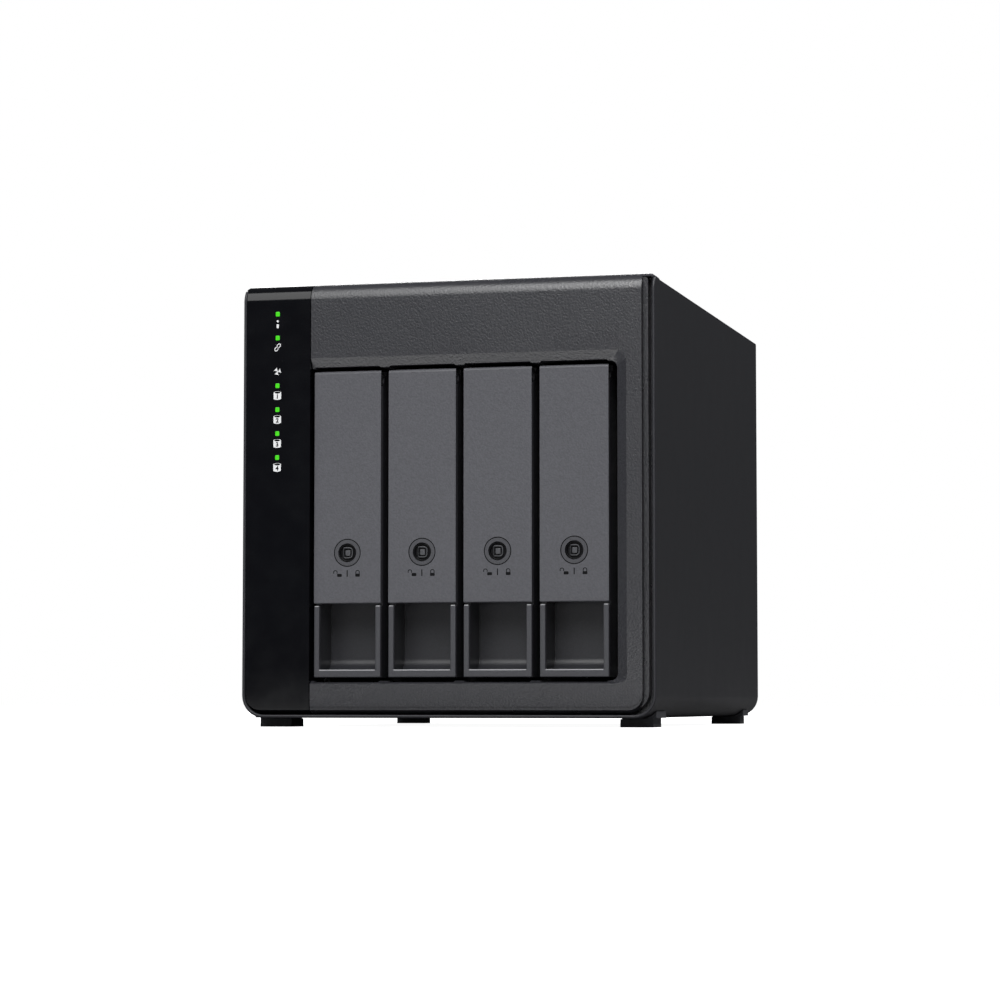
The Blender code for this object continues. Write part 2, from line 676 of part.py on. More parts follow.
def add_drive_frame(tray, half):
    """The long side plate and the two runners round the drive, with air windows in the plate."""
    wall_front = TRAY_BOX_BACK - TRAY_BACK_WALL + 0.1 * MM
    back_wall = box("tray_back", (-TRAY_SIDE_OUT, wall_front, DRIVE_BOTTOM - RUNNER),
                    (half - 0.1 * MM, TRAY_BOX_BACK + 0.2 * MM, DRIVE_TOP + RUNNER))
    frame = box("tray_frame", (-TRAY_SIDE_OUT, TRAY_BOX_BACK, DRIVE_BOTTOM - RUNNER),
                (TRAY_RIGHT, TRAY_END, DRIVE_TOP + RUNNER))
    space = box("drive_space", (-TRAY_SIDE_IN, TRAY_BOX_BACK - MM, DRIVE_BOTTOM),
                (TRAY_RIGHT + MM, TRAY_END + MM, DRIVE_TOP))
    cut(frame, space)
    join(tray, back_wall, frame)
    length = (TRAY_END - TRAY_BOX_BACK) / 3
    for place in range(3):
        start = TRAY_BOX_BACK + length * (place + 0.2)
        window = box("tray_window", (-TRAY_SIDE_OUT - MM, start, DRIVE_BOTTOM + 20 * MM),
                     (-TRAY_SIDE_IN + MM, start + length * 0.65, DRIVE_TOP - 20 * MM))
        cut(tray, window)


def lever_shape():
    """One lever, centred on X = 0: a plate with a hinge barrel, a grip lip and the lock's hole."""
    half = TRAY_WIDTH / 2
    inner = half - TRAY_WALL - GAP
    profile = rounded_outline(TRAY_FACE, LEVER_BACK, LEVER_BOTTOM, TRAY_TOP, (0.5 * MM, 0, 0, 1.2 * MM), 3)
    lever = prism("tray_lever", [profile], -half, half, "X")
    for side in (-1, 1):
        low, high = sorted((side * inner, side * (half + MM)))
        cut(lever, box("lug_room", (low, TRAY_FACE + 0.6 * MM, HINGE_Z - LUG - 0.5 * MM),
                       (high, LEVER_BACK + MM, TRAY_TOP + MM)))
    barrel = prism("barrel", [circle((HINGE_Y, HINGE_Z), BARREL, 20)], -inner, inner, "X")
    web = box("barrel_web", (-inner + 0.05 * MM, TRAY_FACE + MM, HINGE_Z - BARREL + 0.2 * MM),
              (inner - 0.05 * MM, HINGE_Y, HINGE_Z + BARREL - 0.2 * MM))
    lip = box("grip_lip", (-inner + 0.1 * MM, TRAY_FACE + MM, LEVER_BOTTOM + 0.1 * MM),
              (inner - 0.1 * MM, LEVER_BACK + 3 * MM, LEVER_BOTTOM + 3 * MM))
    join(lever, barrel, web, lip)
    bore = prism("barrel_bore", [circle((HINGE_Y, HINGE_Z), PIN_BORE, 16)], -half, half, "X")
    hole = cylinder("lock_hole", LOCK_HOLE, (0, TRAY_FACE - MM, LOCK_Z), (0, LEVER_BACK + MM, LOCK_Z), 32)
    cut(lever, bore, hole)
    return lever


def lock_shape():
    """One lock, centred on X = 0: a round core with a key square, and a cam arm behind the lever."""
    face = TRAY_FACE + 0.4 * MM
    core = cylinder("lock_core", LOCK_RADIUS, (0, face, LOCK_Z), (0, CAM_BACK, LOCK_Z), 32)
    dish_floor = face + 0.7 * MM
    key = 1.6 * MM
    dish = cylinder("lock_dish", LOCK_RADIUS - 0.7 * MM, (0, face - MM, LOCK_Z), (0, dish_floor, LOCK_Z), 24)
    key_block = box("lock_key", (-key, face + 0.2 * MM, LOCK_Z - key), (key, dish_floor + GAP, LOCK_Z + key))
    arm = box("lock_cam", (-2 * MM, CAM_FRONT, LOCK_Z - CAM_REACH), (2 * MM, CAM_BACK - 0.1 * MM, LOCK_Z))
    cut(core, dish)
    join(core, key_block, arm)
    return core


def make_trays():
    """Four sets of tray, lever, hinge pin and lock, each lever under its tray, each lock under its lever."""
    hinge = Vector((0, HINGE_Y, HINGE_Z))
    lock_axis = Vector((0, TRAY_FACE, LOCK_Z))
    tray_origin = Vector((0, TRAY_FACE, TRAY_BOTTOM))
    tray_mesh = baked(tray_shape(), tray_origin)
    lever_mesh = baked(lever_shape(), hinge)
    lock_mesh = baked(lock_shape(), lock_axis)
    pin_half = TRAY_WIDTH / 2 - 0.4 * MM
    pin = cylinder("lever_pin", PIN, (-pin_half, HINGE_Y, HINGE_Z), (pin_half, HINGE_Y, HINGE_Z), 16)
    pin_mesh = baked(pin, hinge)
    for bay, centre in enumerate(TRAY_CENTRES, start=1):
        across = Vector((centre, 0, 0))
        tray = place_piece(f"drive_tray_{bay}", tray_mesh, TRAY_PLASTIC, tray_origin + across)
        lever = place_piece(f"tray_lever_{bay}", lever_mesh, LEVER_PLASTIC, hinge, tray, tray_origin)
        place_piece(f"lever_pin_{bay}", pin_mesh, ZINC_STEEL, hinge, tray, tray_origin)
        place_piece(f"lock_core_{bay}", lock_mesh, LOCK_PLASTIC, lock_axis, lever, hinge)


# ---------------------------------------------------------------- rear

def make_rear_panel():
    half = INSIDE - GAP
    radius = LOWER_CORNER - SHEET - GAP
    outline = rounded_outline(-half, half, BASE + SHEET + GAP, CASE_TOP - SHEET - GAP, (radius, radius, 0, 0))
    opening = circle((0, FAN_Z), GRILLE_OPENING, 48)
    panel = prism("rear_panel", [outline, opening], PANEL_IN, PANEL_OUT, "Y")
    front = PANEL_IN - MM
    back = PANEL_OUT + MM
    for side in (-1, 1):
        fan_x = side * FAN_HOLES
        fan_places = [(fan_x, FAN_Z - FAN_HOLES), (fan_x, FAN_Z + FAN_HOLES)]
        for x, z in [(side * COVER_SCREW_X, COVER_SCREW_Z)] + fan_places:
            cut(panel, cylinder("screw_hole", SCREW_HOLE, (x, front, z), (x, back, z), 16))
    button_hole = BUTTON_RADIUS + GAP
    button = cylinder("button_hole", button_hole, (BUTTON_X, front, PORT_Z), (BUTTON_X, back, PORT_Z), 24)
    jack = cylinder("jack_hole", JACK_COLLAR + 2 * GAP, (JACK_X, front, PORT_Z), (JACK_X, back, PORT_Z), 24)
    host = box("host_hole", (HOST_X - HOST_HALF - GAP, front, PORT_Z - 2.2 * MM),
               (HOST_X + HOST_HALF + GAP, back, PORT_Z + 2.2 * MM))
    slot = box("lock_slot", (LOCK_SLOT_X - 1.5 * MM, front, LOCK_SLOT_Z - 3.5 * MM),
               (LOCK_SLOT_X + 1.5 * MM, back, LOCK_SLOT_Z + 3.5 * MM))
    cut(panel, button, jack, host, slot)
    single(panel, CASE_PAINT)


def make_fan_frame():
    half = FAN_SIZE / 2
    outline = rounded_outline(-half, half, FAN_Z - half, FAN_Z + half, (5 * MM,) * 4, 4)
    frame = prism("fan_frame", [outline, circle((0, FAN_Z), FAN_BORE, 56)], FAN_FRONT, FAN_BACK, "Y")
    hub = cylinder("motor_base", FAN_HUB, (0, FAN_BACK - 3 * MM, FAN_Z), (0, FAN_BACK - 0.5 * MM, FAN_Z), 32)
    join(frame, hub)
    for spoke in range(4):
        angle = radians(20 + 90 * spoke)
        reach = (FAN_BORE + 1.5 * MM, FAN_HUB - 3 * MM)
        outer, inner = [Vector((cos(angle) * radius, 0, sin(angle) * radius)) for radius in reach]
        middle = Vector((0, FAN_BACK - 1.8 * MM, FAN_Z))
        join(frame, bar("strut", middle + inner, middle + outer, 4 * MM, 2 * MM))
    for x in (-FAN_HOLES, FAN_HOLES):
        for z in (FAN_Z - FAN_HOLES, FAN_Z + FAN_HOLES):
            cut(frame, cylinder("corner_hole", SCREW_HOLE, (x, FAN_FRONT - MM, z), (x, FAN_BACK + MM, z), 16))
    single(frame, FAN_PLASTIC)


def bar(name, start, end, width, thickness):
    """A flat bar in a plane of constant Y between two points."""
    length = (end - start).length
    strip = box(name, (-length / 2, -thickness / 2, -width / 2), (length / 2, thickness / 2, width / 2))
    strip.rotation_euler = (0, -atan2(end.z - start.z, end.x - start.x), 0)
    strip.location = (start + end) / 2
    return strip


def make_fan_rotor():
    """A hub with swept blades, on the fan's axis."""
    origin = Vector((0, FAN_BACK - 4 * MM, FAN_Z))
    depth = 18 * MM
    profile = [(0, depth), (FAN_HUB - 2 * MM, depth), (FAN_HUB, depth - 2 * MM), (FAN_HUB, 0), (0, 0)]
    rotor = turned("fan_rotor", profile, origin, 28)
    blades = 7
    for blade in range(blades):
        join(rotor, fan_blade(360 / blades * blade, origin, depth))
    single(rotor, FAN_PLASTIC, origin)


def fan_blade(start, origin, depth):
    """One blade: a twisted strip that turns as it goes through the fan."""
    around = 5
    out = 4
    sweep = 40
    shape = bmesh.new()
    bmesh.ops.create_grid(shape, x_segments=around, y_segments=out, size=0.5)
    for vert in shape.verts:
        turn = vert.co.x + 0.5
        reach = vert.co.y + 0.5
        radius = FAN_HUB - 2 * MM + reach * (FAN_TIP - FAN_HUB + 2 * MM)
        angle = radians(start + sweep * turn + 12 * reach)
        forwards = 2 * MM + (depth - 4 * MM) * turn
        vert.co = (radius * cos(angle), -forwards, radius * sin(angle))
    mesh = bpy.data.meshes.new("blade")
    shape.to_mesh(mesh)
    shape.free()
    blade = new_object("blade", mesh)
    blade.location = origin
    solid = blade.modifiers.new("thickness", "SOLIDIFY")
    solid.thickness = 1.3 * MM
    solid.offset = 0
    return blade


def make_fan_guard():
    """Flat steel rings on two crossed bars, with an eye at each screw."""
    front = PANEL_OUT + GAP
    back = front + MM
    width = 1.6 * MM
    radii = [10 * MM * step + 13 * MM for step in range(5)]
    rings = []
    for radius in radii:
        outlines = [circle((0, FAN_Z), radius + width / 2, 32), circle((0, FAN_Z), radius - width / 2, 32)]
        rings.append(prism("ring", outlines, front, back, "Y"))
    guard = rings[0]
    guard.name = "fan_guard"
    reach = FAN_HOLES
    middle = Vector((0, (front + back) / 2, FAN_Z))
    for side in (-1, 1):
        corner = Vector((reach, 0, side * reach))
        join(guard, bar("cross_bar", middle - corner, middle + corner, 2.4 * MM, 0.8 * MM))
    join(guard, *rings[1:])
    for x in (-reach, reach):
        for z in (FAN_Z - reach, FAN_Z + reach):
            eye = cylinder("eye", 4 * MM, (x, front + 0.05 * MM, z), (x, back - 0.05 * MM, z), 24)
            hole = cylinder("eye_hole", SCREW_HOLE, (x, front - MM, z), (x, back + MM, z), 16)
            join(guard, eye)
            cut(guard, hole)
    single(guard, BLACK_STEEL)


def screw_mesh(length):
    """A pan-head screw along Y, measured from under its head, with the shank pointing forwards."""
    head = 1.7 * MM
    profile = [(0, length), (SCREW_SHANK, length), (SCREW_SHANK, 0), (SCREW_HEAD, 0),
               (SCREW_HEAD, -head * 0.5), (SCREW_HEAD * 0.7, -head), (0, -head)]
    screw = turned("screw", profile, (0, 0, 0), 14)
    for width, height in ((0.7, 3.4), (3.4, 0.7)):
        cut(screw, box("cross", (-width / 2 * MM, 0.8 * MM, -height / 2 * MM),
                       (width / 2 * MM, 3 * MM, height / 2 * MM)))
    return baked(screw)


def make_screws():
    fan_screw = screw_mesh(10 * MM)
    seat = PANEL_OUT + GAP + MM + GAP
    number = 1
    for z in (FAN_Z + FAN_HOLES, FAN_Z - FAN_HOLES):
        for x in (-FAN_HOLES, FAN_HOLES):
            place_piece(f"fan_screw_{number}", fan_screw, BLACK_STEEL, (x, seat, z))
            number += 1
    cover_screw = screw_mesh(5 * MM)
    seat = PANEL_OUT + GAP + SHEET + GAP
    for number, side in enumerate((-1, 1), start=1):
        place = (side * COVER_SCREW_X, seat, COVER_SCREW_Z)
        place_piece(f"cover_screw_{number}", cover_screw, BLACK_STEEL, place)


def make_controller_board():
    board = box("controller_board", (-60 * MM, FRONT + 181 * MM, MAIN_BOARD_TOP - BOARD),
                (60 * MM, PANEL_IN - MM, MAIN_BOARD_TOP))
    single(board, CIRCUIT_BOARD)


def make_host_port():
    """A flat oval socket with a contact tongue, on legs down to the board."""
    back = PANEL_OUT + 0.3 * MM
    front = back - 9 * MM
    body_half = HOST_HALF - 0.1 * MM
    body = box("host_port", (HOST_X - body_half, front, MAIN_BOARD_TOP + GAP),
               (HOST_X + body_half, PANEL_IN - GAP, PORT_Z + 1.7 * MM))
    nose = box("host_nose", (HOST_X - HOST_HALF, front + MM, PORT_Z - 1.8 * MM),
               (HOST_X + HOST_HALF, back, PORT_Z + 1.8 * MM))
    join(body, nose)
    mouth_half = HOST_HALF - 0.5 * MM
    outline = rounded_outline(HOST_X - mouth_half, HOST_X + mouth_half, PORT_Z - 1.3 * MM, PORT_Z + 1.3 * MM,
                              (1.25 * MM,) * 4, 4)
    mouth = prism("host_mouth", [outline], front + 2 * MM, back + MM, "Y")
    tongue = box("host_tongue", (HOST_X - 3.3 * MM, front + MM, PORT_Z - 0.35 * MM),
                 (HOST_X + 3.3 * MM, back - MM, PORT_Z + 0.35 * MM))
    cut(body, mouth)
    join(body, tongue)
    single(body, ZINC_STEEL)


def make_power_jack():
    """A round low-voltage inlet with its centre pin, on a block down to the board."""
    back = PANEL_OUT + 0.3 * MM
    front = back - 12 * MM
    half = 4.5 * MM
    body = box("power_jack", (JACK_X - half, front, MAIN_BOARD_TOP + GAP),
               (JACK_X + half, PANEL_IN - GAP, PORT_Z + 4.6 * MM))
    collar = cylinder("jack_collar", JACK_COLLAR, (JACK_X, PANEL_IN - MM, PORT_Z), (JACK_X, back, PORT_Z), 28)
    hollow = (JACK_X, front + 2 * MM, PORT_Z)
    barrel = cylinder("jack_barrel", 3.1 * MM, hollow, (JACK_X, back + MM, PORT_Z), 24)
    pin = cylinder("jack_pin", 1.05 * MM, (JACK_X, front + MM, PORT_Z), (JACK_X, back - MM, PORT_Z), 16)
    join(body, collar)
    cut(body, barrel)
    join(body, pin)
    single(body, SOCKET_PLASTIC)


def make_power_button():
    """A round cap that shows through the panel, a collar behind it and a stem to the switch."""
    face = PANEL_OUT + 2.2 * MM
    origin = Vector((BUTTON_X, face, PORT_Z))
    collar_back = face - PANEL_IN + 2 * GAP
    collar = 1.2 * MM
    stem = 1.5 * MM
    stem_end = collar_back + BUTTON_STEM
    profile = [(0, stem_end), (stem, stem_end), (stem, collar_back + collar),
               (BUTTON_RADIUS + collar, collar_back + collar), (BUTTON_RADIUS + collar, collar_back),
               (BUTTON_RADIUS, collar_back), (BUTTON_RADIUS, 0.5 * MM), (BUTTON_RADIUS - 0.5 * MM, 0), (0, 0)]
    single(turned("power_button", profile, origin, 32), SOCKET_PLASTIC, origin, smooth=True)


def make_button_switch():
    stem_end = PANEL_IN - 2 * GAP - BUTTON_STEM
    back = stem_end - BUTTON_TRAVEL - GAP
    body = box("button_switch", (BUTTON_X - 3 * MM, back - 5 * MM, MAIN_BOARD_TOP + GAP),
               (BUTTON_X + 3 * MM, back, PORT_Z + 3 * MM))
    single(body, SOCKET_PLASTIC)


# ---------------------------------------------------------------- feet

def make_feet():
    """Rubber blocks under the corners, hollowed on top to the case's rounded edge."""
    outline = case_outline(-GAP)
    flange_bottom = BASE - GAP - FOOT_PLATE
    for end, (start, stop) in FOOT_SPANS.items():
        for side, name in ((-1, "left"), (1, "right")):
            low, high = sorted((side * FOOT_X[0], side * FOOT_X[1]))
            foot = box(f"foot_{end}_{name}", (low, start, 0), (high, stop, BASE + MM))
            flange = box("foot_flange", (low - FOOT_FLANGE, start - FOOT_FLANGE, flange_bottom),
                         (high + FOOT_FLANGE, stop + FOOT_FLANGE, BASE + 3.2 * MM))
            join(foot, flange)
            cut(foot, prism("case_form", [outline], start - 2 * MM, stop + 2 * MM, "Y"))
            single(foot, FOOT_RUBBER)


make_outer_shell()
make_top_cover()
make_front_bezel()
make_indicator_panel()
make_light_pipe()
make_indicator_board()
make_drive_cage()
make_upper_rail_guide()
make_lower_rail_guide()
make_backplane_board()
make_drive_sockets()
make_trays()
make_rear_panel()
make_fan_frame()
make_fan_rotor()
make_fan_guard()
make_screws()
make_controller_board()
make_host_port()
make_power_jack()
make_power_button()
make_button_switch()
make_feet()
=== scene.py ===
"""Looks for the four-bay disk enclosure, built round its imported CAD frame. Units are metres."""

import json
from math import cos, pi, radians, sin

import bmesh
import bpy
from mathutils import Matrix, Vector


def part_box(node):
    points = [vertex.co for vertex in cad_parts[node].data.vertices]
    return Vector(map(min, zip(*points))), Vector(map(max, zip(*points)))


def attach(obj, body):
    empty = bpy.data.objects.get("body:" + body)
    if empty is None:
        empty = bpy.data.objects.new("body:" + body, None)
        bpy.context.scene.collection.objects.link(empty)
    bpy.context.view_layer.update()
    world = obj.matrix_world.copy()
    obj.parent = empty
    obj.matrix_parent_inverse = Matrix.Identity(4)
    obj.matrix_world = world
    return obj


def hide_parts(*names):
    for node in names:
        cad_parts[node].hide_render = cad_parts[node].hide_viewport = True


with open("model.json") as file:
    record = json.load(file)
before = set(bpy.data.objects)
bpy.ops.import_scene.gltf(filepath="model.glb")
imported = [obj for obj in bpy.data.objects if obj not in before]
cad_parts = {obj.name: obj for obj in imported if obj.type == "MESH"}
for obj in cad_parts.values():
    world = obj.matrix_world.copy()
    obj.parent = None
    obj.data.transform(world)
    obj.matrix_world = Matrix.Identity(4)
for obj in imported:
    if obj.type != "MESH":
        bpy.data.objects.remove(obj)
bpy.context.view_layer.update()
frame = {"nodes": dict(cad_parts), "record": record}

MM = 0.001
BAYS = 4
WINDOWS = 7
FAN_WINDOW = 2  # the lens for the fan, counted from 0 at the top
LENS_HALF_WIDTH = 0.80 * MM
LENS_HALF_HEIGHT = 0.88 * MM
INK = 0.03 * MM  # how far printed ink stands proud
FACE_RIGHT = 75 * MM  # where the bezel's flat face ends
FACE_CORNER = 5.6 * MM
BEAD_DROP = 1.4 * MM
TRAY_WALL = 2.1 * MM  # the rim's width beside a finger pocket
HAIR = 0.02 * MM  # a gap or overlap too small to see
CAD_WELD = 0.06 * MM  # CAD corners nearer than this are one
DRAWN_WELD = 0.0005 * MM  # the same for outlines drawn here
FLAT_ANGLE = radians(0.7)  # faces that differ by less are one face
ROUNDED_ANGLE = radians(32)  # edges sharper than this get rounded
SMOOTH_ANGLE = radians(38)  # edges sharper than this stay crisp
ROUNDING_SLACK = 0.03 * MM  # how far rounding may move a piece's outer limits
ELLIPSE_STEPS = 28
BODY_OF = {node: body for body, nodes in frame["record"]["behaviour"]["bodies"].items() for node in nodes}
SLOT_OF = {part["node"]: part["material_slot"] for part in frame["record"]["subparts"]}


# ---------------------------------------------------------------- materials

def blank_material(name, colour, roughness, metallic=0.0, specular=0.5):
    """A material with its shader's plain values set, and the places of its surface ready for textures."""
    material = bpy.data.materials.new(name)
    material.use_nodes = True
    nodes = material.node_tree.nodes
    shader = nodes["Principled BSDF"]
    shader.inputs["Base Color"].default_value = (*colour, 1.0)
    shader.inputs["Roughness"].default_value = roughness
    shader.inputs["Metallic"].default_value = metallic
    shader.inputs["Specular IOR Level"].default_value = specular
    place = nodes.new("ShaderNodeTexCoord")
    return material, nodes, material.node_tree.links, shader, place.outputs["Object"]


def noise(nodes, links, place, size, detail, stretch=None):
    """Noise whose features are about the given size in metres, stretched along an axis if asked."""
    if stretch:
        mapping = nodes.new("ShaderNodeMapping")
        mapping.inputs["Scale"].default_value = stretch
        links.new(place, mapping.inputs["Vector"])
        place = mapping.outputs["Vector"]
    texture = nodes.new("ShaderNodeTexNoise")
    texture.inputs["Scale"].default_value = 1 / size
    texture.inputs["Detail"].default_value = detail
    links.new(place, texture.inputs["Vector"])
    return texture.outputs["Fac"]


def ramp(nodes, links, value, stops):
    """A colour ramp through (position, colour) stops."""
    node = nodes.new("ShaderNodeValToRGB")
    elements = node.color_ramp.elements
    while len(elements) < len(stops):
        elements.new(0.5)
    for element, (position, colour) in zip(elements, stops):
        element.position = position
        element.color = (*colour, 1.0)
    links.new(value, node.inputs["Fac"])
    return node.outputs["Color"]


def map_range(nodes, links, value, low, high):
    """The middle part of a noise value, spread between a low and a high number."""
    node = nodes.new("ShaderNodeMapRange")
    node.inputs["From Min"].default_value = 0.3
    node.inputs["From Max"].default_value = 0.7
    node.inputs["To Min"].default_value = low
    node.inputs["To Max"].default_value = high
    links.new(value, node.inputs["Value"])
    return node.outputs["Result"]


def bump(nodes, links, shader, value, depth):
    """Relief of a depth in metres."""
    node = nodes.new("ShaderNodeBump")
    node.inputs["Distance"].default_value = depth
    links.new(value, node.inputs["Height"])
    links.new(node.outputs["Normal"], shader.inputs["Normal"])


def shades(colour, spread):
    """A darker and a lighter shade of a colour."""
    return [tuple(channel * factor for channel in colour) for factor in (1 - spread, 1 + spread)]


def textured(name, colour, roughness, grain, depth, spread, metallic=0.0, specular=0.5):
    """Moulded, painted or sheet material: fine grain in relief and shade, slow changes in gloss."""
    material, nodes, links, shader, place = blank_material(name, colour, roughness, metallic, specular)
    fine = noise(nodes, links, place, grain, 2.5)
    slow = noise(nodes, links, place, 0.03, 3.0)
    dark, light = shades(colour, spread)
    links.new(ramp(nodes, links, fine, [(0.32, dark), (0.68, light)]), shader.inputs["Base Color"])
    links.new(map_range(nodes, links, slow, roughness * 0.93, roughness * 1.07), shader.inputs["Roughness"])
    bump(nodes, links, shader, fine, depth)
    return material


def gloss_black(name):
    """Polished black plastic with faint fine scratches."""
    material, nodes, links, shader, place = blank_material(name, (0.003, 0.0032, 0.0045), 0.08)
    scratches = noise(nodes, links, place, 0.6 * MM, 4.0, (1.0, 1.0, 0.08))
    dust = noise(nodes, links, place, 9 * MM, 4.0)
    links.new(map_range(nodes, links, dust, 0.10, 0.17), shader.inputs["Roughness"])
    links.new(ramp(nodes, links, dust, [(0.35, (0.0028, 0.003, 0.0045)), (0.7, (0.0036, 0.004, 0.0055))]),
              shader.inputs["Base Color"])
    bump(nodes, links, shader, scratches, 0.004 * MM)
    return material


def glowing(name, colour, strength):
    """A lit lens: clear tinted plastic with a little unevenness in its light."""
    material, nodes, links, shader, place = blank_material(name, (0.02, 0.10, 0.01), 0.25)
    cells = noise(nodes, links, place, 0.8 * MM, 1.0)
    dark, light = shades(colour, 0.12)
    links.new(ramp(nodes, links, cells, [(0.35, dark), (0.65, light)]), shader.inputs["Emission Color"])
    shader.inputs["Emission Strength"].default_value = strength
    bump(nodes, links, shader, cells, 0.01 * MM)
    return material


def circuit_board_material():
    """Green solder mask with paler lines in it, like traces."""
    material, nodes, links, shader, place = blank_material("solder_mask", (0.01, 0.09, 0.035), 0.35)
    traces = nodes.new("ShaderNodeTexBrick")
    traces.inputs["Scale"].default_value = 160.0
    traces.inputs["Mortar Size"].default_value = 0.03
    traces.inputs["Color1"].default_value = (0.006, 0.075, 0.028, 1)
    traces.inputs["Color2"].default_value = (0.008, 0.09, 0.034, 1)
    traces.inputs["Mortar"].default_value = (0.02, 0.17, 0.06, 1)
    turn = nodes.new("ShaderNodeMapping")
    turn.inputs["Rotation"].default_value = (radians(90), 0, 0)
    links.new(place, turn.inputs["Vector"])
    links.new(turn.outputs["Vector"], traces.inputs["Vector"])
    links.new(traces.outputs["Color"], shader.inputs["Base Color"])
    bump(nodes, links, shader, traces.outputs["Fac"], 0.03 * MM)
    return material


def zinc_material():
    """Galvanised sheet with crystals of slightly different brightness."""
    material, nodes, links, shader, place = blank_material("zinc_sheet", (0.34, 0.345, 0.36), 0.4, 1.0)
    crystals = nodes.new("ShaderNodeTexVoronoi")
    crystals.inputs["Scale"].default_value = 180.0
    links.new(place, crystals.inputs["Vector"])
    tones = [(0.2, (0.28, 0.285, 0.3)), (0.8, (0.4, 0.405, 0.42))]
    links.new(ramp(nodes, links, crystals.outputs["Color"], tones), shader.inputs["Base Color"])
    fine = noise(nodes, links, place, 1.5 * MM, 3.0)
    links.new(map_range(nodes, links, fine, 0.52, 0.64), shader.inputs["Roughness"])
    bump(nodes, links, shader, fine, 0.01 * MM)
    return material


# For textured: colour, roughness, grain size, relief, spread of shade, and for some metallic or specular.
FINISHES = {
    "case_paint": textured("case_paint_finish", (0.031, 0.0315, 0.037), 0.44, 0.5 * MM, 0.04 * MM, 0.1),
    "bezel_plastic": textured("bezel_finish", (0.037, 0.0376, 0.0435), 0.28, 0.8 * MM, 0.12 * MM, 0.18,
                              specular=0.9),
    "gloss_plastic": gloss_black("gloss_finish"),
    # The tray plastic is set darker than the rim's copy of it: painted shade in the finger pockets.
    "tray_plastic": textured("tray_finish_painted_shade", (0.035, 0.0355, 0.041), 0.34, 0.7 * MM, 0.04 * MM, 0.08),
    "lever_plastic": textured("lever_finish", (0.096, 0.0972, 0.1095), 0.5, 0.75 * MM, 0.08 * MM, 0.1),
    "lock_plastic": textured("lock_finish", (0.005, 0.0052, 0.0065), 0.35, 0.5 * MM, 0.01 * MM, 0.1,
                             specular=0.25),
    "clear_plastic": glowing("lit_lens", (0.055, 0.66, 0.006), 1.0),
    "circuit_board": circuit_board_material(),
    "socket_plastic": textured("socket_finish", (0.014, 0.0142, 0.015), 0.45, 0.3 * MM, 0.01 * MM, 0.15),
    "zinc_steel": zinc_material(),
    "black_steel": textured("black_steel_finish", (0.022, 0.022, 0.024), 0.38, 0.4 * MM, 0.008 * MM, 0.15,
                            metallic=0.5),
    "fan_plastic": textured("fan_finish", (0.016, 0.016, 0.018), 0.42, 0.5 * MM, 0.01 * MM, 0.12),
    "foot_rubber": textured("rubber_finish", (0.11, 0.111, 0.122), 0.75, 0.6 * MM, 0.05 * MM, 0.15),
    "printed_marks": textured("white_ink", (0.90, 0.91, 0.92), 0.5, 0.25 * MM, 0.004 * MM, 0.03),
}
DARK_LENS = gloss_black("unlit_lens")
# Near-black: the ink of printed numbers and lock signs, and also painted shade in the lock grooves and under
# the trays.
DARK_INK_AND_SHADE = textured("dark_ink_and_painted_shade", (0.0035, 0.0036, 0.0045), 0.6, 0.25 * MM, 0.004 * MM, 0.08, specular=0.15)
KEY_FINISH = textured("key_finish", (0.085, 0.087, 0.095), 0.35, 0.5 * MM, 0.01 * MM, 0.1)
# The same tray plastic painted lighter: painted light on the pockets' front rims.
LIT_RIM_FINISH = textured("tray_rim_painted_light", (0.072, 0.073, 0.082), 0.36, 0.7 * MM, 0.05 * MM, 0.08)
# A near-white strip finish: painted highlights along the tray pockets' inner top edges.
EDGE_HIGHLIGHT_FINISH = textured("tray_edge_painted_highlight", (0.48, 0.483, 0.50), 0.4, 0.7 * MM, 0.02 * MM, 0.05)
RING_FINISH = textured("ring_finish", (0.068, 0.069, 0.078), 0.5, 0.6 * MM, 0.03 * MM, 0.08)
GOLD = textured("gold_contact", (0.60, 0.42, 0.16), 0.28, 0.4 * MM, 0.004 * MM, 0.08, metallic=1.0)


# ---------------------------------------------------------------- shape helpers

def new_piece(name, mesh, finish=None):
    """An object in the scene, with its one finish if it shows."""
    piece = bpy.data.objects.new(name, mesh)
    bpy.context.scene.collection.objects.link(piece)
    if finish:
        piece.data.materials.clear()
        piece.data.materials.append(finish)
    return piece


def from_shape(name, shape, finish=None):
    """An object from a shape, which is used up."""
    mesh = bpy.data.meshes.new(name)
    shape.to_mesh(mesh)
    shape.free()
    return new_piece(name, mesh, finish)


def settled(piece):
    """Apply a piece's modifiers to its mesh."""
    bpy.context.view_layer.update()
    graph = bpy.context.evaluated_depsgraph_get()
    mesh = bpy.data.meshes.new_from_object(piece.evaluated_get(graph))
    piece.modifiers.clear()
    piece.data = mesh
    return piece


def combine(piece, tools, how):
    """Cut or join a piece with tools, which are used up."""
    for tool in tools:
        boolean = piece.modifiers.new("shaping", "BOOLEAN")
        boolean.operation = how
        boolean.solver = "EXACT"
        boolean.object = tool
    settled(piece)
    for tool in tools:
        bpy.data.objects.remove(tool, do_unlink=True)
    return piece


def whole_faced(mesh):
    """A mesh's shape, welded, with its flat faces whole again."""
    shape = bmesh.new()
    shape.from_mesh(mesh)
    bmesh.ops.remove_doubles(shape, verts=shape.verts, dist=CAD_WELD)
    bmesh.ops.dissolve_limit(shape, angle_limit=FLAT_ANGLE, verts=shape.verts, edges=shape.edges)
    return shape


def cad_copy(node, name):
    """A piece with a CAD node's shape and its slot's finish."""
    return from_shape(name, whole_faced(frame["nodes"][node].data), FINISHES[SLOT_OF[node]])


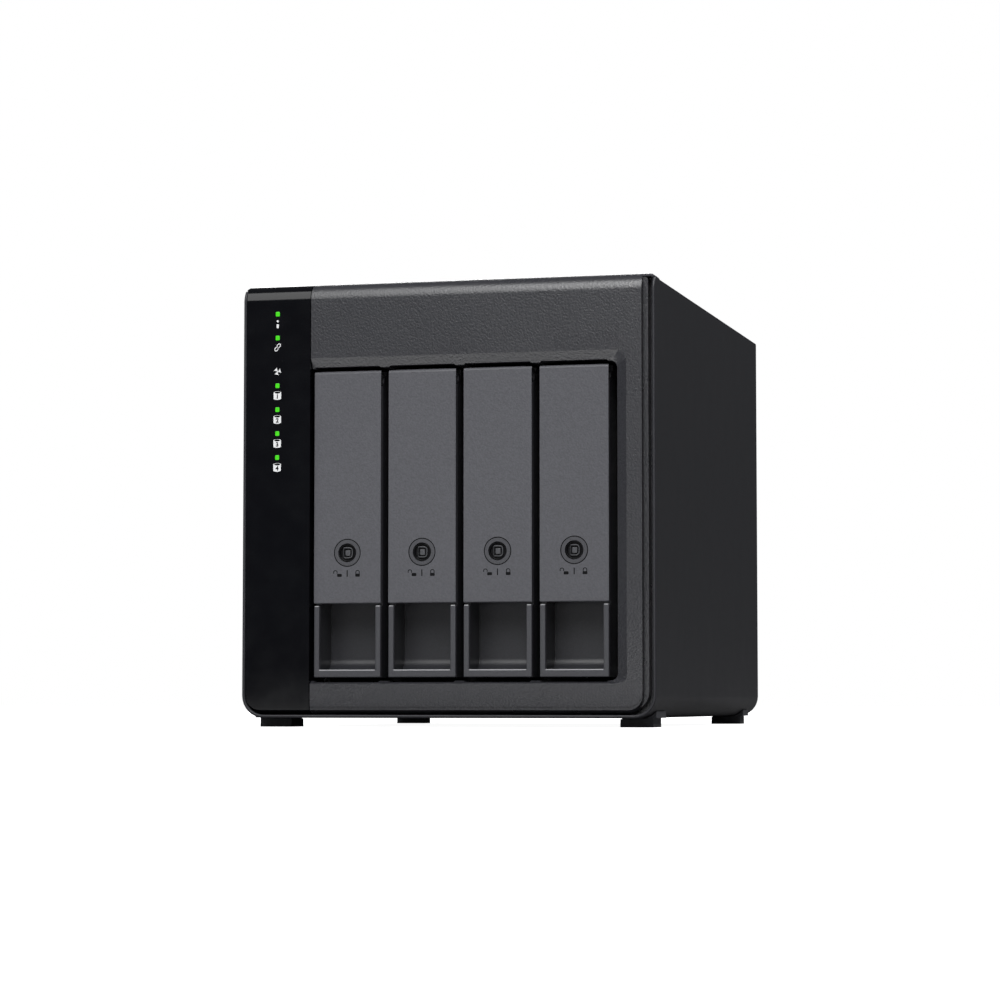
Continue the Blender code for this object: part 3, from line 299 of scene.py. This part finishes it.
def box(low, high):
    """A plain block between two corners, to cut or join with."""
    shape = bmesh.new()
    bmesh.ops.create_cube(shape, size=1.0)
    size = Vector(high) - Vector(low)
    bmesh.ops.scale(shape, vec=size, verts=shape.verts)
    bmesh.ops.translate(shape, vec=Vector(low) + size / 2, verts=shape.verts)
    return from_shape("tool", shape)


def turns(start, end, steps):
    """Even steps from one angle in degrees to another, in radians."""
    return [radians(start + (end - start) * step / steps) for step in range(steps + 1)]


def arc(centre, radius, start, end, steps):
    """Points along an arc; the angles are in degrees."""
    return [(centre[0] + radius * cos(turn), centre[1] + radius * sin(turn))
            for turn in turns(start, end, steps)]


def ellipse(centre, across, up, tilt=0):
    """An ellipse with the given half sizes, tilted by an angle in degrees."""
    lean = radians(tilt)
    points = []
    for x, z in arc((0, 0), 1, 0, 360, ELLIPSE_STEPS)[:-1]:
        x, z = x * across, z * up
        points.append((centre[0] + x * cos(lean) - z * sin(lean), centre[1] + x * sin(lean) + z * cos(lean)))
    return points


def rounded_rectangle(left, right, bottom, top, radii, steps=5):
    """A rectangle with its own radius at each corner, from the lower left one round to the right."""
    corners = [((left, bottom), (1, 1), 180), ((right, bottom), (-1, 1), 270),
               ((right, top), (-1, -1), 0), ((left, top), (1, -1), 90)]
    points = []
    for (corner, inwards, start), radius in zip(corners, radii):
        centre = (corner[0] + inwards[0] * radius, corner[1] + inwards[1] * radius)
        points += arc(centre, radius, start, start + 90, steps) if radius else [corner]
    return points


def drawn_mesh(drawing, x, y, z):
    """The mesh of a flat curve or text, stood up to face forwards, with its origin at (x, y, z)."""
    guide = new_piece("guide", drawing)
    mesh = bpy.data.meshes.new_from_object(guide)
    mesh.transform(Matrix(((1, 0, 0, x), (0, 0, -1, y), (0, 1, 0, z), (0, 0, 0, 1))))
    bpy.data.objects.remove(guide, do_unlink=True)
    return mesh


def plate(name, groups, front, back, finish=None):
    """Outlines seen from the front, made solid between two depths; in a group, later outlines are holes."""
    whole = bmesh.new()
    for outlines in groups:
        curve = bpy.data.curves.new(name, "CURVE")
        curve.dimensions = "2D"
        curve.fill_mode = "BOTH"
        curve.extrude = (back - front) / 2
        for outline in outlines:
            spline = curve.splines.new("POLY")
            spline.points.add(len(outline) - 1)
            for point, (across, up) in zip(spline.points, outline):
                point.co = (across, up, 0, 1)
            spline.use_cyclic_u = True
        whole.from_mesh(drawn_mesh(curve, 0, (front + back) / 2, 0))
    bmesh.ops.remove_doubles(whole, verts=whole.verts, dist=DRAWN_WELD)
    bmesh.ops.recalc_face_normals(whole, faces=whole.faces)
    return from_shape(name, whole, finish)


def lathe(name, profile, centre, finish=None, steps=40):
    """A closed (radius, depth) profile turned round an axis along Y."""
    shape = bmesh.new()
    corners = [shape.verts.new((radius, depth, 0)) for radius, depth in profile]
    edges = [shape.edges.new(pair) for pair in zip(corners, corners[1:] + corners[:1])]
    bmesh.ops.spin(shape, geom=corners + edges, axis=(0, 1, 0), cent=(0, 0, 0), angle=2 * pi,
                   steps=steps, use_merge=True)
    bmesh.ops.remove_doubles(shape, verts=shape.verts, dist=DRAWN_WELD)
    bmesh.ops.recalc_face_normals(shape, faces=shape.faces)
    bmesh.ops.translate(shape, vec=centre, verts=shape.verts)
    return from_shape(name, shape, finish)


def extent(mesh):
    """A mesh's lowest and highest x, y and z."""
    corners = [vertex.co for vertex in mesh.vertices]
    return [limit(corner[axis] for corner in corners) for limit in (min, max) for axis in range(3)]


def round_edges(piece, width, segments=2):
    """Round the sharp edges of a piece; where full rounds would stick out, they are kept narrower."""
    before = extent(piece.data)
    plain = piece.data
    for clamped in (False, True):
        piece.data = plain
        bevel = piece.modifiers.new("round_edges", "BEVEL")
        bevel.width = width
        bevel.segments = segments
        bevel.limit_method = "ANGLE"
        bevel.angle_limit = ROUNDED_ANGLE
        bevel.use_clamp_overlap = clamped
        settled(piece)
        if all(abs(old - new) < ROUNDING_SLACK for old, new in zip(before, extent(piece.data))):
            break
    return piece


def shade(piece):
    """Smooth shading that keeps flat faces flat and edges crisp."""
    piece.data.shade_smooth()
    piece.data.set_sharp_from_angle(angle=SMOOTH_ANGLE)
    weigh = piece.modifiers.new("flat_shading", "WEIGHTED_NORMAL")
    weigh.keep_sharp = True
    return settled(piece)


def stand_for(piece, node):
    """A visible piece that replaces a CAD node and rides on its body."""
    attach(piece, BODY_OF[node])
    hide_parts(node)
    return piece


def added(piece, body):
    """A visible piece with no CAD node of its own."""
    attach(piece, body)
    return piece


def refine(node, width):
    """The CAD piece itself, with rounded edges and its finish."""
    stand_for(shade(round_edges(cad_copy(node, node + "_moulded"), width)), node)


# ---------------------------------------------------------------- front

def brow_seal(left, right, front, back):
    """A strip along the top of the side sheet, which closes the slit under the brow."""
    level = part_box("outer_shell")[1].z
    set_back = 2.6 * MM
    height = 0.6 * MM
    return box((left, front + set_back, level - HAIR), (right, back - 0.1 * MM, level + height))


def make_bezel():
    """The bezel, closed down to the side sheet under its brow."""
    low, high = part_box("front_bezel")
    overlap = 1.7 * MM
    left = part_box("outer_shell")[1].x - overlap
    piece = cad_copy("front_bezel", "front_bezel_moulded")
    combine(piece, [brow_seal(left, high.x - 0.05 * MM, low.y, high.y)], "UNION")
    stand_for(shade(round_edges(piece, 0.2 * MM)), "front_bezel")


def make_bead(name, left, right, round_side, slot):
    """A sloping edge from a face's lower edge back to the ledge behind it, round the lower corner too."""
    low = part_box("front_bezel")[0]
    face = low.y
    bottom = low.z + BEAD_DROP
    centre, flat = (left + FACE_CORNER, right) if round_side < 0 else (right - FACE_CORNER, left)
    full_drop = BEAD_DROP - HAIR
    outlines = []
    for drop, depth in ((-0.1 * MM, 0.3 * MM), (full_drop, 3.05 * MM), (full_drop, 6 * MM)):
        outline = []
        for turn in turns(0, 90, 8):
            across = centre + round_side * (FACE_CORNER - HAIR) * cos(turn)
            outline.append((across, face + depth, bottom + FACE_CORNER - (FACE_CORNER + drop) * sin(turn)))
        outline += [(flat, face + depth, bottom - drop), (flat, face + depth, bottom + FACE_CORNER)]
        outlines.append(outline)
    shape = bmesh.new()
    rows = [[shape.verts.new(point) for point in outline] for outline in outlines]
    shape.faces.new(rows[0])
    shape.faces.new(rows[-1])
    for near, far in zip(rows, rows[1:]):
        for start in range(len(near)):
            after = (start + 1) % len(near)
            shape.faces.new((near[start], near[after], far[after], far[start]))
    bmesh.ops.recalc_face_normals(shape, faces=shape.faces)
    added(shade(from_shape(name, shape, FINISHES[slot])), "chassis")


def make_beads():
    """The column's bead turns up round its left corner, the bezel's round its right one."""
    low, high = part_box("indicator_panel")
    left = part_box("front_bezel")[0].x
    make_bead("column_bead", low.x + 0.85 * MM, high.x, -1, "gloss_plastic")
    make_bead("bezel_bead", left, FACE_RIGHT, 1, "bezel_plastic")


def make_sill():
    """A dark strip behind the bezel's lower lip, just under the trays: painted shade that fills the gap below
    them.
    """
    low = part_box("drive_tray_1")[0]
    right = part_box(f"drive_tray_{BAYS}")[1].x
    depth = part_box("drive_cage")[0].y
    outline = rounded_rectangle(low.x + 1.5 * MM, right, low.z - 2.2 * MM, low.z - 0.25 * MM, (0.2 * MM,) * 4)
    # Painted shade: a near-black sheet where the gap under the trays is in shadow.
    strip = plate("gap_painted_shade_strip", [[outline]], depth - 0.6 * MM, depth - 0.05 * MM, DARK_INK_AND_SHADE)
    added(shade(strip), "chassis")


def window_places():
    """The windows' middles as (x, z) from the top down, read from the light pipe."""
    low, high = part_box("light_pipe")
    overlap = 2 * MM
    pitch = (high.z - low.z - 2 * overlap) / (WINDOWS - 1)
    return [((low.x + high.x) / 2, high.z - overlap - pitch * place) for place in range(WINDOWS)]


def make_indicator_column():
    """The gloss column without its windows, which the lenses fill."""
    low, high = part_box("indicator_panel")
    places = window_places()
    piece = cad_copy("indicator_panel", "indicator_column")
    x, top = places[0]
    bottom = places[-1][1]
    margin = 2 * MM
    fill = box((x - margin, low.y, bottom - margin), (x + margin, low.y + margin, top + margin))
    seal = brow_seal(low.x + 0.05 * MM, low.x + margin, low.y, high.y)
    combine(piece, [fill, seal], "UNION")
    shape = whole_faced(piece.data)
    shape.to_mesh(piece.data)
    shape.free()
    stand_for(shade(round_edges(piece, 0.45 * MM, 3)), "indicator_panel")


def make_lenses():
    """Lenses level with the column; the one for the fan is dark."""
    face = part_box("indicator_panel")[0].y
    lit = []
    for number, (x, z) in enumerate(window_places()):
        dark = number == FAN_WINDOW
        proud = (0.01 if dark else 0.08) * MM
        outline = rounded_rectangle(x - LENS_HALF_WIDTH, x + LENS_HALF_WIDTH,
                                    z - LENS_HALF_HEIGHT, z + LENS_HALF_HEIGHT, (0.35 * MM,) * 4)
        lens = plate("lens", [[outline]], face - proud, face + 1.2 * MM)
        if dark:
            lens.name = "fan_lens"
            lens.data.materials.append(DARK_LENS)
            added(lens, "chassis")
        else:
            lit.append(lens)
    piece = combine(lit[0], lit[1:], "UNION")
    piece.name = "lit_lenses"
    piece.data.materials.append(FINISHES["clear_plastic"])
    stand_for(shade(round_edges(piece, 0.07 * MM)), "light_pipe")


def printed(name, groups, face, finish):
    """A thin layer of ink on a face that looks forwards."""
    return plate(name, groups, face - INK, face + 0.5 * INK, finish)


def disk_mark(x, z):
    """A drum seen from a little above: body with a rounded base, and a dark opening in its lid."""
    half = 1.5 * MM
    lid = z + 1.1 * MM
    base = z - 1.25 * MM
    curve = 0.45 * MM
    outline = [(x + half * cos(t), base + curve * sin(t)) for t in turns(180, 360, 14)]
    outline += [(x + half * cos(t), lid + curve * sin(t)) for t in turns(0, 180, 14)]
    return [outline, ellipse((x, lid - HAIR), half - 0.3 * MM, curve - 0.08 * MM)]


def fan_mark(x, z):
    """Three swept blades round a hub."""
    groups = [[ellipse((x, z), 0.36 * MM, 0.36 * MM)]]
    for blade in range(3):
        start = 95 + 120 * blade
        leading = [(0.2 + 1.3 * step / 6, start + 8 * step / 6) for step in range(7)]
        trailing = [(1.5 - 1.3 * step / 6, start + 78 - 22 * step / 6) for step in range(7)]
        outline = []
        for radius, angle in leading + trailing:
            outline.append((x + radius * MM * cos(radians(angle)), z + radius * MM * sin(radians(angle))))
        groups.append([outline])
    return groups


def make_indicator_marks():
    """White signs under the lenses: status, link, fan and the four drives with their numbers."""
    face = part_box("indicator_panel")[0].y
    white = FINISHES["printed_marks"]
    places = window_places()
    drop = 3.7 * MM
    x = places[0][0]
    status = places[0][1] - 4.05 * MM
    dot = [ellipse((x, status + 1.3 * MM), 0.45 * MM, 0.4 * MM)]
    stem = [rounded_rectangle(x - 0.46 * MM, x + 0.46 * MM, status - 1.35 * MM, status + 0.25 * MM,
                              (0.4 * MM,) * 4)]
    added(printed("status_mark", [dot, stem], face, white), "chassis")
    link = places[1][1] - 3.6 * MM
    for name, side in (("lower", -1), ("upper", 1)):
        centre = (x + side * 0.45 * MM, link + side * 0.6 * MM)
        loop = [ellipse(centre, 0.74 * MM, 1.0 * MM, -36), ellipse(centre, 0.44 * MM, 0.68 * MM, -36)]
        added(printed(f"link_mark_{name}", [loop], face, white), "chassis")
    fan = fan_mark(x, places[FAN_WINDOW][1] - drop)
    added(printed("fan_mark", fan, face, white), "chassis")
    for bay in range(1, BAYS + 1):
        z = places[FAN_WINDOW + bay][1] - drop
        added(printed(f"disk_mark_{bay}", [disk_mark(x, z)], face, white), "chassis")
        added(numeral(bay, x, z - 0.5 * MM, face), "chassis")


def numeral(number, x, z, face):
    """A dark number in the middle of a disk mark."""
    text = bpy.data.curves.new("numeral", "FONT")
    text.body = str(number)
    text.size = 2.25 * MM
    text.align_x = "CENTER"
    text.align_y = "CENTER"
    text.extrude = 0.5 * INK
    text.offset = 0.09 * MM
    return new_piece(f"disk_number_{number}", drawn_mesh(text, x, face - 1.4 * INK, z), DARK_INK_AND_SHADE)


# ---------------------------------------------------------------- trays, levers and locks

def make_tray(bay):
    """A tray whose finger pocket has a softened rim painted lighter than the pocket, as painted light, with
    strips of painted highlight along its inner edges.
    """
    node = f"drive_tray_{bay}"
    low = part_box(node)[0]
    lever_low, lever_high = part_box(f"tray_lever_{bay}")
    top = lever_low.z - 0.9 * MM
    face = lever_low.y
    depth = 1.6 * MM
    piece = cad_copy(node, node + "_moulded")
    room = box((lever_low.x - MM, face - MM, low.z - MM), (lever_high.x + MM, face + depth, top + 0.3 * MM))
    combine(piece, [room], "DIFFERENCE")
    stand_for(shade(round_edges(piece, 0.3 * MM)), node)
    left, right = lever_low.x, lever_high.x
    floor = low.z + 2.9 * MM
    rim = [(left, low.z), (right, low.z), (right, top), (right - TRAY_WALL, top), (right - TRAY_WALL, floor),
           (left + TRAY_WALL, floor), (left + TRAY_WALL, top), (left, top)]
    # The rim is painted lighter than the pocket behind it, as painted light.
    lit_rim_piece = plate(f"tray_rim_{bay}", [[rim]], face, face + depth, LIT_RIM_FINISH)
    added(shade(round_edges(lit_rim_piece, 0.4 * MM, 3)), BODY_OF[node])
    # Pale strips along the pocket's inner top edges: painted highlights where the edges would catch the
    # light.
    inner_left, inner_right = left + TRAY_WALL, right - TRAY_WALL
    lines = ((inner_left + 0.1 * MM, inner_right - 0.1 * MM, floor - 0.35 * MM, floor),
             (left + 0.3 * MM, inner_left - 0.3 * MM, top - 0.3 * MM, top),
             (inner_right + 0.3 * MM, right - 0.3 * MM, top - 0.3 * MM, top))
    edges = [[rounded_rectangle(start, end, under, over + 0.03 * MM, (0.1 * MM,) * 4, 2)]
             for start, end, under, over in lines]
    highlight_piece = plate(f"tray_painted_highlights_{bay}", edges, face + 0.01 * MM, face + depth - 0.1 * MM, EDGE_HIGHLIGHT_FINISH)
    added(highlight_piece, BODY_OF[node])


def lock_centre(bay):
    """The lock's axis on the lever's face, as (x, face, z) with its radius."""
    low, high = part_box(f"lock_core_{bay}")
    radius = (high.x - low.x) / 2
    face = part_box(f"tray_lever_{bay}")[0].y
    return (low.x + high.x) / 2, face, high.z - radius, radius


def ring(name, centre, inner, outer, front, back, finish):
    """A flat ring facing forwards."""
    profile = [(inner, front), (outer, front), (outer, back), (inner, back)]
    return lathe(name, profile, centre, finish, steps=56)


def make_lever(bay):
    """A lever with a fine groove round its lock, whose floor is near-black painted shade, and a duller ring
    inside the groove.
    """
    x, face, z, radius = lock_centre(bay)
    centre = (x, face, z)
    node = f"tray_lever_{bay}"
    piece = round_edges(cad_copy(node, node + "_moulded"), 0.3 * MM)
    inner = radius + 1.55 * MM
    outer = inner + 0.4 * MM
    combine(piece, [ring("tool", centre, inner, outer, -MM, 0.4 * MM, None)], "DIFFERENCE")
    stand_for(shade(piece), node)
    body = f"lever_{bay}"
    # The groove's floor is near-black: painted shade in the narrow groove.
    groove = ring(f"groove_painted_shade_{bay}", centre, inner - HAIR, outer + HAIR, 0.15 * MM, 0.5 * MM, DARK_INK_AND_SHADE)
    added(groove, body)
    band = ring(f"lock_ring_{bay}", centre, radius + 0.2 * MM, inner - 0.05 * MM, -0.03 * MM, 0.2 * MM,
                RING_FINISH)
    added(shade(band), body)


def make_lock(bay):
    """A recessed core with a raised key form in a dark cup."""
    x, face, z, radius = lock_centre(bay)
    node = f"lock_core_{bay}"
    piece = cad_copy(node, node + "_turned")
    depth = 1.5 * MM
    floor = face + depth
    cup = lathe("tool", [(0, -MM), (0, depth), (radius - 0.45 * MM, depth), (radius - 0.2 * MM, -MM)],
                (x, face, z))
    combine(piece, [cup], "DIFFERENCE")
    stand_for(shade(round_edges(piece, 0.12 * MM)), node)
    outer = rounded_rectangle(x - 1.6 * MM, x + 1.9 * MM, z - 2.0 * MM, z + 2.1 * MM,
                              (0.5 * MM, 1.3 * MM, 1.3 * MM, 0.3 * MM))
    inner = rounded_rectangle(x - 1.7 * MM, x + 1.6 * MM, z - 1.65 * MM, z + 1.75 * MM,
                              (0.1 * MM, 1.0 * MM, 1.0 * MM, 0.1 * MM))
    hoop = plate(f"key_hoop_{bay}", [[outer, inner]], floor - 0.85 * MM, floor + 0.1 * MM, KEY_FINISH)
    added(shade(round_edges(hoop, 0.1 * MM)), f"lock_{bay}")
    middle = rounded_rectangle(x - 0.95 * MM, x + 0.95 * MM, z - 1.1 * MM, z + 1.0 * MM,
                               (0.45 * MM, 0.3 * MM, 0.3 * MM, 0.3 * MM))
    block = plate(f"key_block_{bay}", [[middle]], floor - 0.75 * MM, floor + 0.1 * MM, KEY_FINISH)
    added(shade(round_edges(block, 0.15 * MM)), f"lock_{bay}")


def padlock(x, z, shackle_shift):
    """A padlock sign: a block and a shackle, which stands to one side when open."""
    half = 0.92 * MM
    block = [rounded_rectangle(x - half, x + half, z, z + 1.15 * MM, (0.3 * MM,) * 4)]
    middle = x + shackle_shift
    reach = 0.82 * MM
    thick = 0.3 * MM
    rise = 0.65 * MM
    foot = z + (1.25 * MM if shackle_shift else 1.1 * MM)
    spring = z + 1.85 * MM
    outside = [(middle + reach * cos(t), spring + rise * sin(t)) for t in turns(0, 180, 12)]
    inside = [(middle + (reach - thick) * cos(t), spring + (rise - thick) * sin(t))
              for t in turns(180, 0, 12)]
    shackle = outside + [(middle - reach, foot), (middle - reach + thick, foot)] + inside
    shackle += [(middle + reach - thick, foot), (middle + reach, foot)]
    return block, [shackle]


def make_lever_marks(bay):
    """Dark signs under the lock: open padlock, a bar for the middle, closed padlock."""
    x, face, z = lock_centre(bay)[:3]
    foot = z - 9.05 * MM
    open_block, open_shackle = padlock(x - 3.05 * MM, foot, -1.6 * MM)
    shut_block, shut_shackle = padlock(x + 4.1 * MM, foot, 0)
    bar = [rounded_rectangle(x - 0.2 * MM, x + 0.2 * MM, foot, foot + 2.5 * MM, (0.12 * MM,) * 4)]
    for name, outlines in (("open_mark", open_block), ("open_shackle", open_shackle), ("middle_mark", bar),
                           ("shut_mark", shut_block), ("shut_shackle", shut_shackle)):
        added(printed(f"{name}_{bay}", [outlines], face, DARK_INK_AND_SHADE), f"lever_{bay}")


# ---------------------------------------------------------------- everything else

def make_contacts(bay):
    """A row of gold contacts along one side of a drive socket's slot."""
    low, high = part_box(f"drive_socket_{bay}")
    side = (low.x + high.x) / 2 - 1.15 * MM
    pitch = 1.27 * MM
    margin = 3 * MM
    strips = []
    for place in range(int((high.z - low.z - 2 * margin) / pitch)):
        start = low.z + margin + pitch * place
        strips.append([rounded_rectangle(side, side + 0.3 * MM, start, start + 0.7 * MM, (0.1 * MM,) * 4, 2)])
    contacts = plate(f"socket_contacts_{bay}", strips, low.y + 0.5 * MM, low.y + 5.5 * MM, GOLD)
    added(contacts, "chassis")


def make_foot(node):
    """A rubber foot that touches the underside of the case and laps up its side."""
    low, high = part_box(node)
    flange = 1.5 * MM
    inset = 2 * MM
    over = high.z + MM
    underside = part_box("outer_shell")[0].z + 0.05 * MM
    keep = box((low.x + flange, low.y + flange, -MM), (high.x - flange, high.y - flange, over))
    lap = box((low.x - MM, low.y - MM, underside), (high.x + MM, high.y + MM, over))
    combine(keep, [lap], "UNION")
    pad = box((low.x + inset, low.y + inset, underside - MM), (high.x - inset, high.y - inset, underside))
    piece = combine(cad_copy(node, node + "_moulded"), [pad], "UNION")
    combine(piece, [keep], "INTERSECT")
    stand_for(shade(round_edges(piece, 0.12 * MM)), node)


# How far each CAD piece's edges are rounded, in millimetres.
ROUNDING = {
    "outer_shell": 0.45, "top_cover": 0.3, "rear_panel": 0.08, "fan_frame": 0.5, "fan_guard": 0.3,
    "fan_rotor": 0.25, "controller_board": 0.15, "backplane_board": 0.15, "host_port": 0.12,
    "power_jack": 0.3, "button_switch": 0.3, "drive_cage": 0.2, "upper_rail_guide": 0.2,
    "lower_rail_guide": 0.2, "indicator_board": 0.15, "power_button": 0.2,
}

for node, slot in SLOT_OF.items():
    thing = frame["nodes"][node]
    thing.data.materials.clear()
    thing.data.materials.append(FINISHES[slot])

make_bezel()
make_indicator_column()
make_beads()
make_sill()
make_lenses()
make_indicator_marks()
for node, width in ROUNDING.items():
    refine(node, width * MM)
for end in ("front", "rear"):
    for side in ("left", "right"):
        make_foot(f"foot_{end}_{side}")
for bay in range(1, BAYS + 1):
    make_tray(bay)
    make_lever(bay)
    make_lock(bay)
    make_lever_marks(bay)
    refine(f"drive_socket_{bay}", 0.25 * MM)
    make_contacts(bay)
    refine(f"fan_screw_{bay}", 0.15 * MM)
for number in (1, 2):
    refine(f"cover_screw_{number}", 0.15 * MM)


# ---------------------------------------------------------------- stage

FILL_STRENGTH = 0.06  # the world as a source of light
FLOOR_GLOW = 0.96  # the floor as the camera sees it
FLOOR_RETURN = (0.18, 0.18, 0.185)  # how much light the floor sends back to the object

# The photograph's viewing angle.
CAMERA_PLACE = (0.3028, -1.1846, 0.0099)
CAMERA_LENS = 107.95  # millimetres
CAMERA_RISE = 3.828  # degrees above level
CAMERA_TURN = 14.679  # degrees round to the left


def make_camera():
    camera = bpy.data.objects.new("camera", bpy.data.cameras.new("camera"))
    bpy.context.scene.collection.objects.link(camera)
    camera.data.sensor_width = 36
    camera.data.lens = CAMERA_LENS
    camera.data.clip_start = 0.01
    camera.location = CAMERA_PLACE
    camera.rotation_euler = (radians(90 + CAMERA_RISE), 0, radians(CAMERA_TURN))
    bpy.context.scene.camera = camera


def area_light(name, place, target, width, height, power):
    """A soft light that points at its target and isn't itself seen."""
    light = bpy.data.lights.new(name, "AREA")
    light.shape = "RECTANGLE"
    light.size = width
    light.size_y = height
    light.energy = power
    thing = bpy.data.objects.new(name, light)
    bpy.context.scene.collection.objects.link(thing)
    thing.location = place
    thing.rotation_euler = (Vector(target) - Vector(place)).to_track_quat("-Z", "Y").to_euler()
    thing.visible_camera = False


def split(nodes, links, seen, other, output):
    """Send one shader to the camera and another to everything else that meets a surface."""
    path = nodes.new("ShaderNodeLightPath")
    choose = nodes.new("ShaderNodeMixShader")
    links.new(path.outputs["Is Camera Ray"], choose.inputs["Fac"])
    links.new(other, choose.inputs[1])
    links.new(seen, choose.inputs[2])
    links.new(choose.outputs["Shader"], nodes[output].inputs["Surface"])


def make_world():
    """White to the eye, dimmer as a source of light."""
    world = bpy.data.worlds.new("studio")
    bpy.context.scene.world = world
    world.use_nodes = True
    nodes, links = world.node_tree.nodes, world.node_tree.links
    seen = nodes["Background"]
    seen.inputs["Color"].default_value = (1, 1, 1, 1)
    seen.inputs["Strength"].default_value = 1.0
    fill = nodes.new("ShaderNodeBackground")
    fill.inputs["Color"].default_value = (0.96, 0.98, 1.0, 1)
    fill.inputs["Strength"].default_value = FILL_STRENGTH
    split(nodes, links, seen.outputs["Background"], fill.outputs["Background"], "World Output")


def make_floor():
    """Pale and evenly lit to the eye; as a source of light it is duller, like a matt table."""
    shape = bmesh.new()
    bmesh.ops.create_grid(shape, x_segments=2, y_segments=2, size=4.0)
    material, nodes, links, shader, place = blank_material("pale_floor", (0.86, 0.86, 0.86), 0.9)
    mottle = noise(nodes, links, place, 0.05, 3.0)
    links.new(ramp(nodes, links, mottle, [(0.3, (0.85, 0.85, 0.85)), (0.7, (0.88, 0.88, 0.88))]),
              shader.inputs["Base Color"])
    shader.inputs["Emission Color"].default_value = (1, 1, 1, 1)
    shader.inputs["Emission Strength"].default_value = FLOOR_GLOW
    dull = nodes.new("ShaderNodeBsdfDiffuse")
    dull.inputs["Color"].default_value = (*FLOOR_RETURN, 1)
    split(nodes, links, shader.outputs["BSDF"], dull.outputs["BSDF"], "Material Output")
    from_shape("floor", shape, material)


make_camera()
make_world()
make_floor()
area_light("key_light", (-0.1, -1.12, 1.16), (0, -0.11, 0.09), 1.3, 1.4, 13.5)
area_light("inner_light", (0.15, -0.95, 1.0), (0, -0.11, 0.09), 0.55, 0.8, 6.5)
area_light("low_light", (0.05, -1.5, 0.13), (0, -0.11, 0.06), 0.4, 0.2, 0.4)
area_light("side_light", (0.6, 0.15, 1.0), (0.08, 0.0, 0.15), 0.4, 0.4, 5.2)
area_light("back_light", (-0.5, 1.3, 0.7), (0, 0.1, 0.08), 0.8, 0.8, 9)
area_light("table_light", (-0.06, -0.24, 0.003), (-0.06, -0.235, 0.5), 0.3, 0.12, 0.16)
bpy.context.scene.view_settings.view_transform = "Standard"
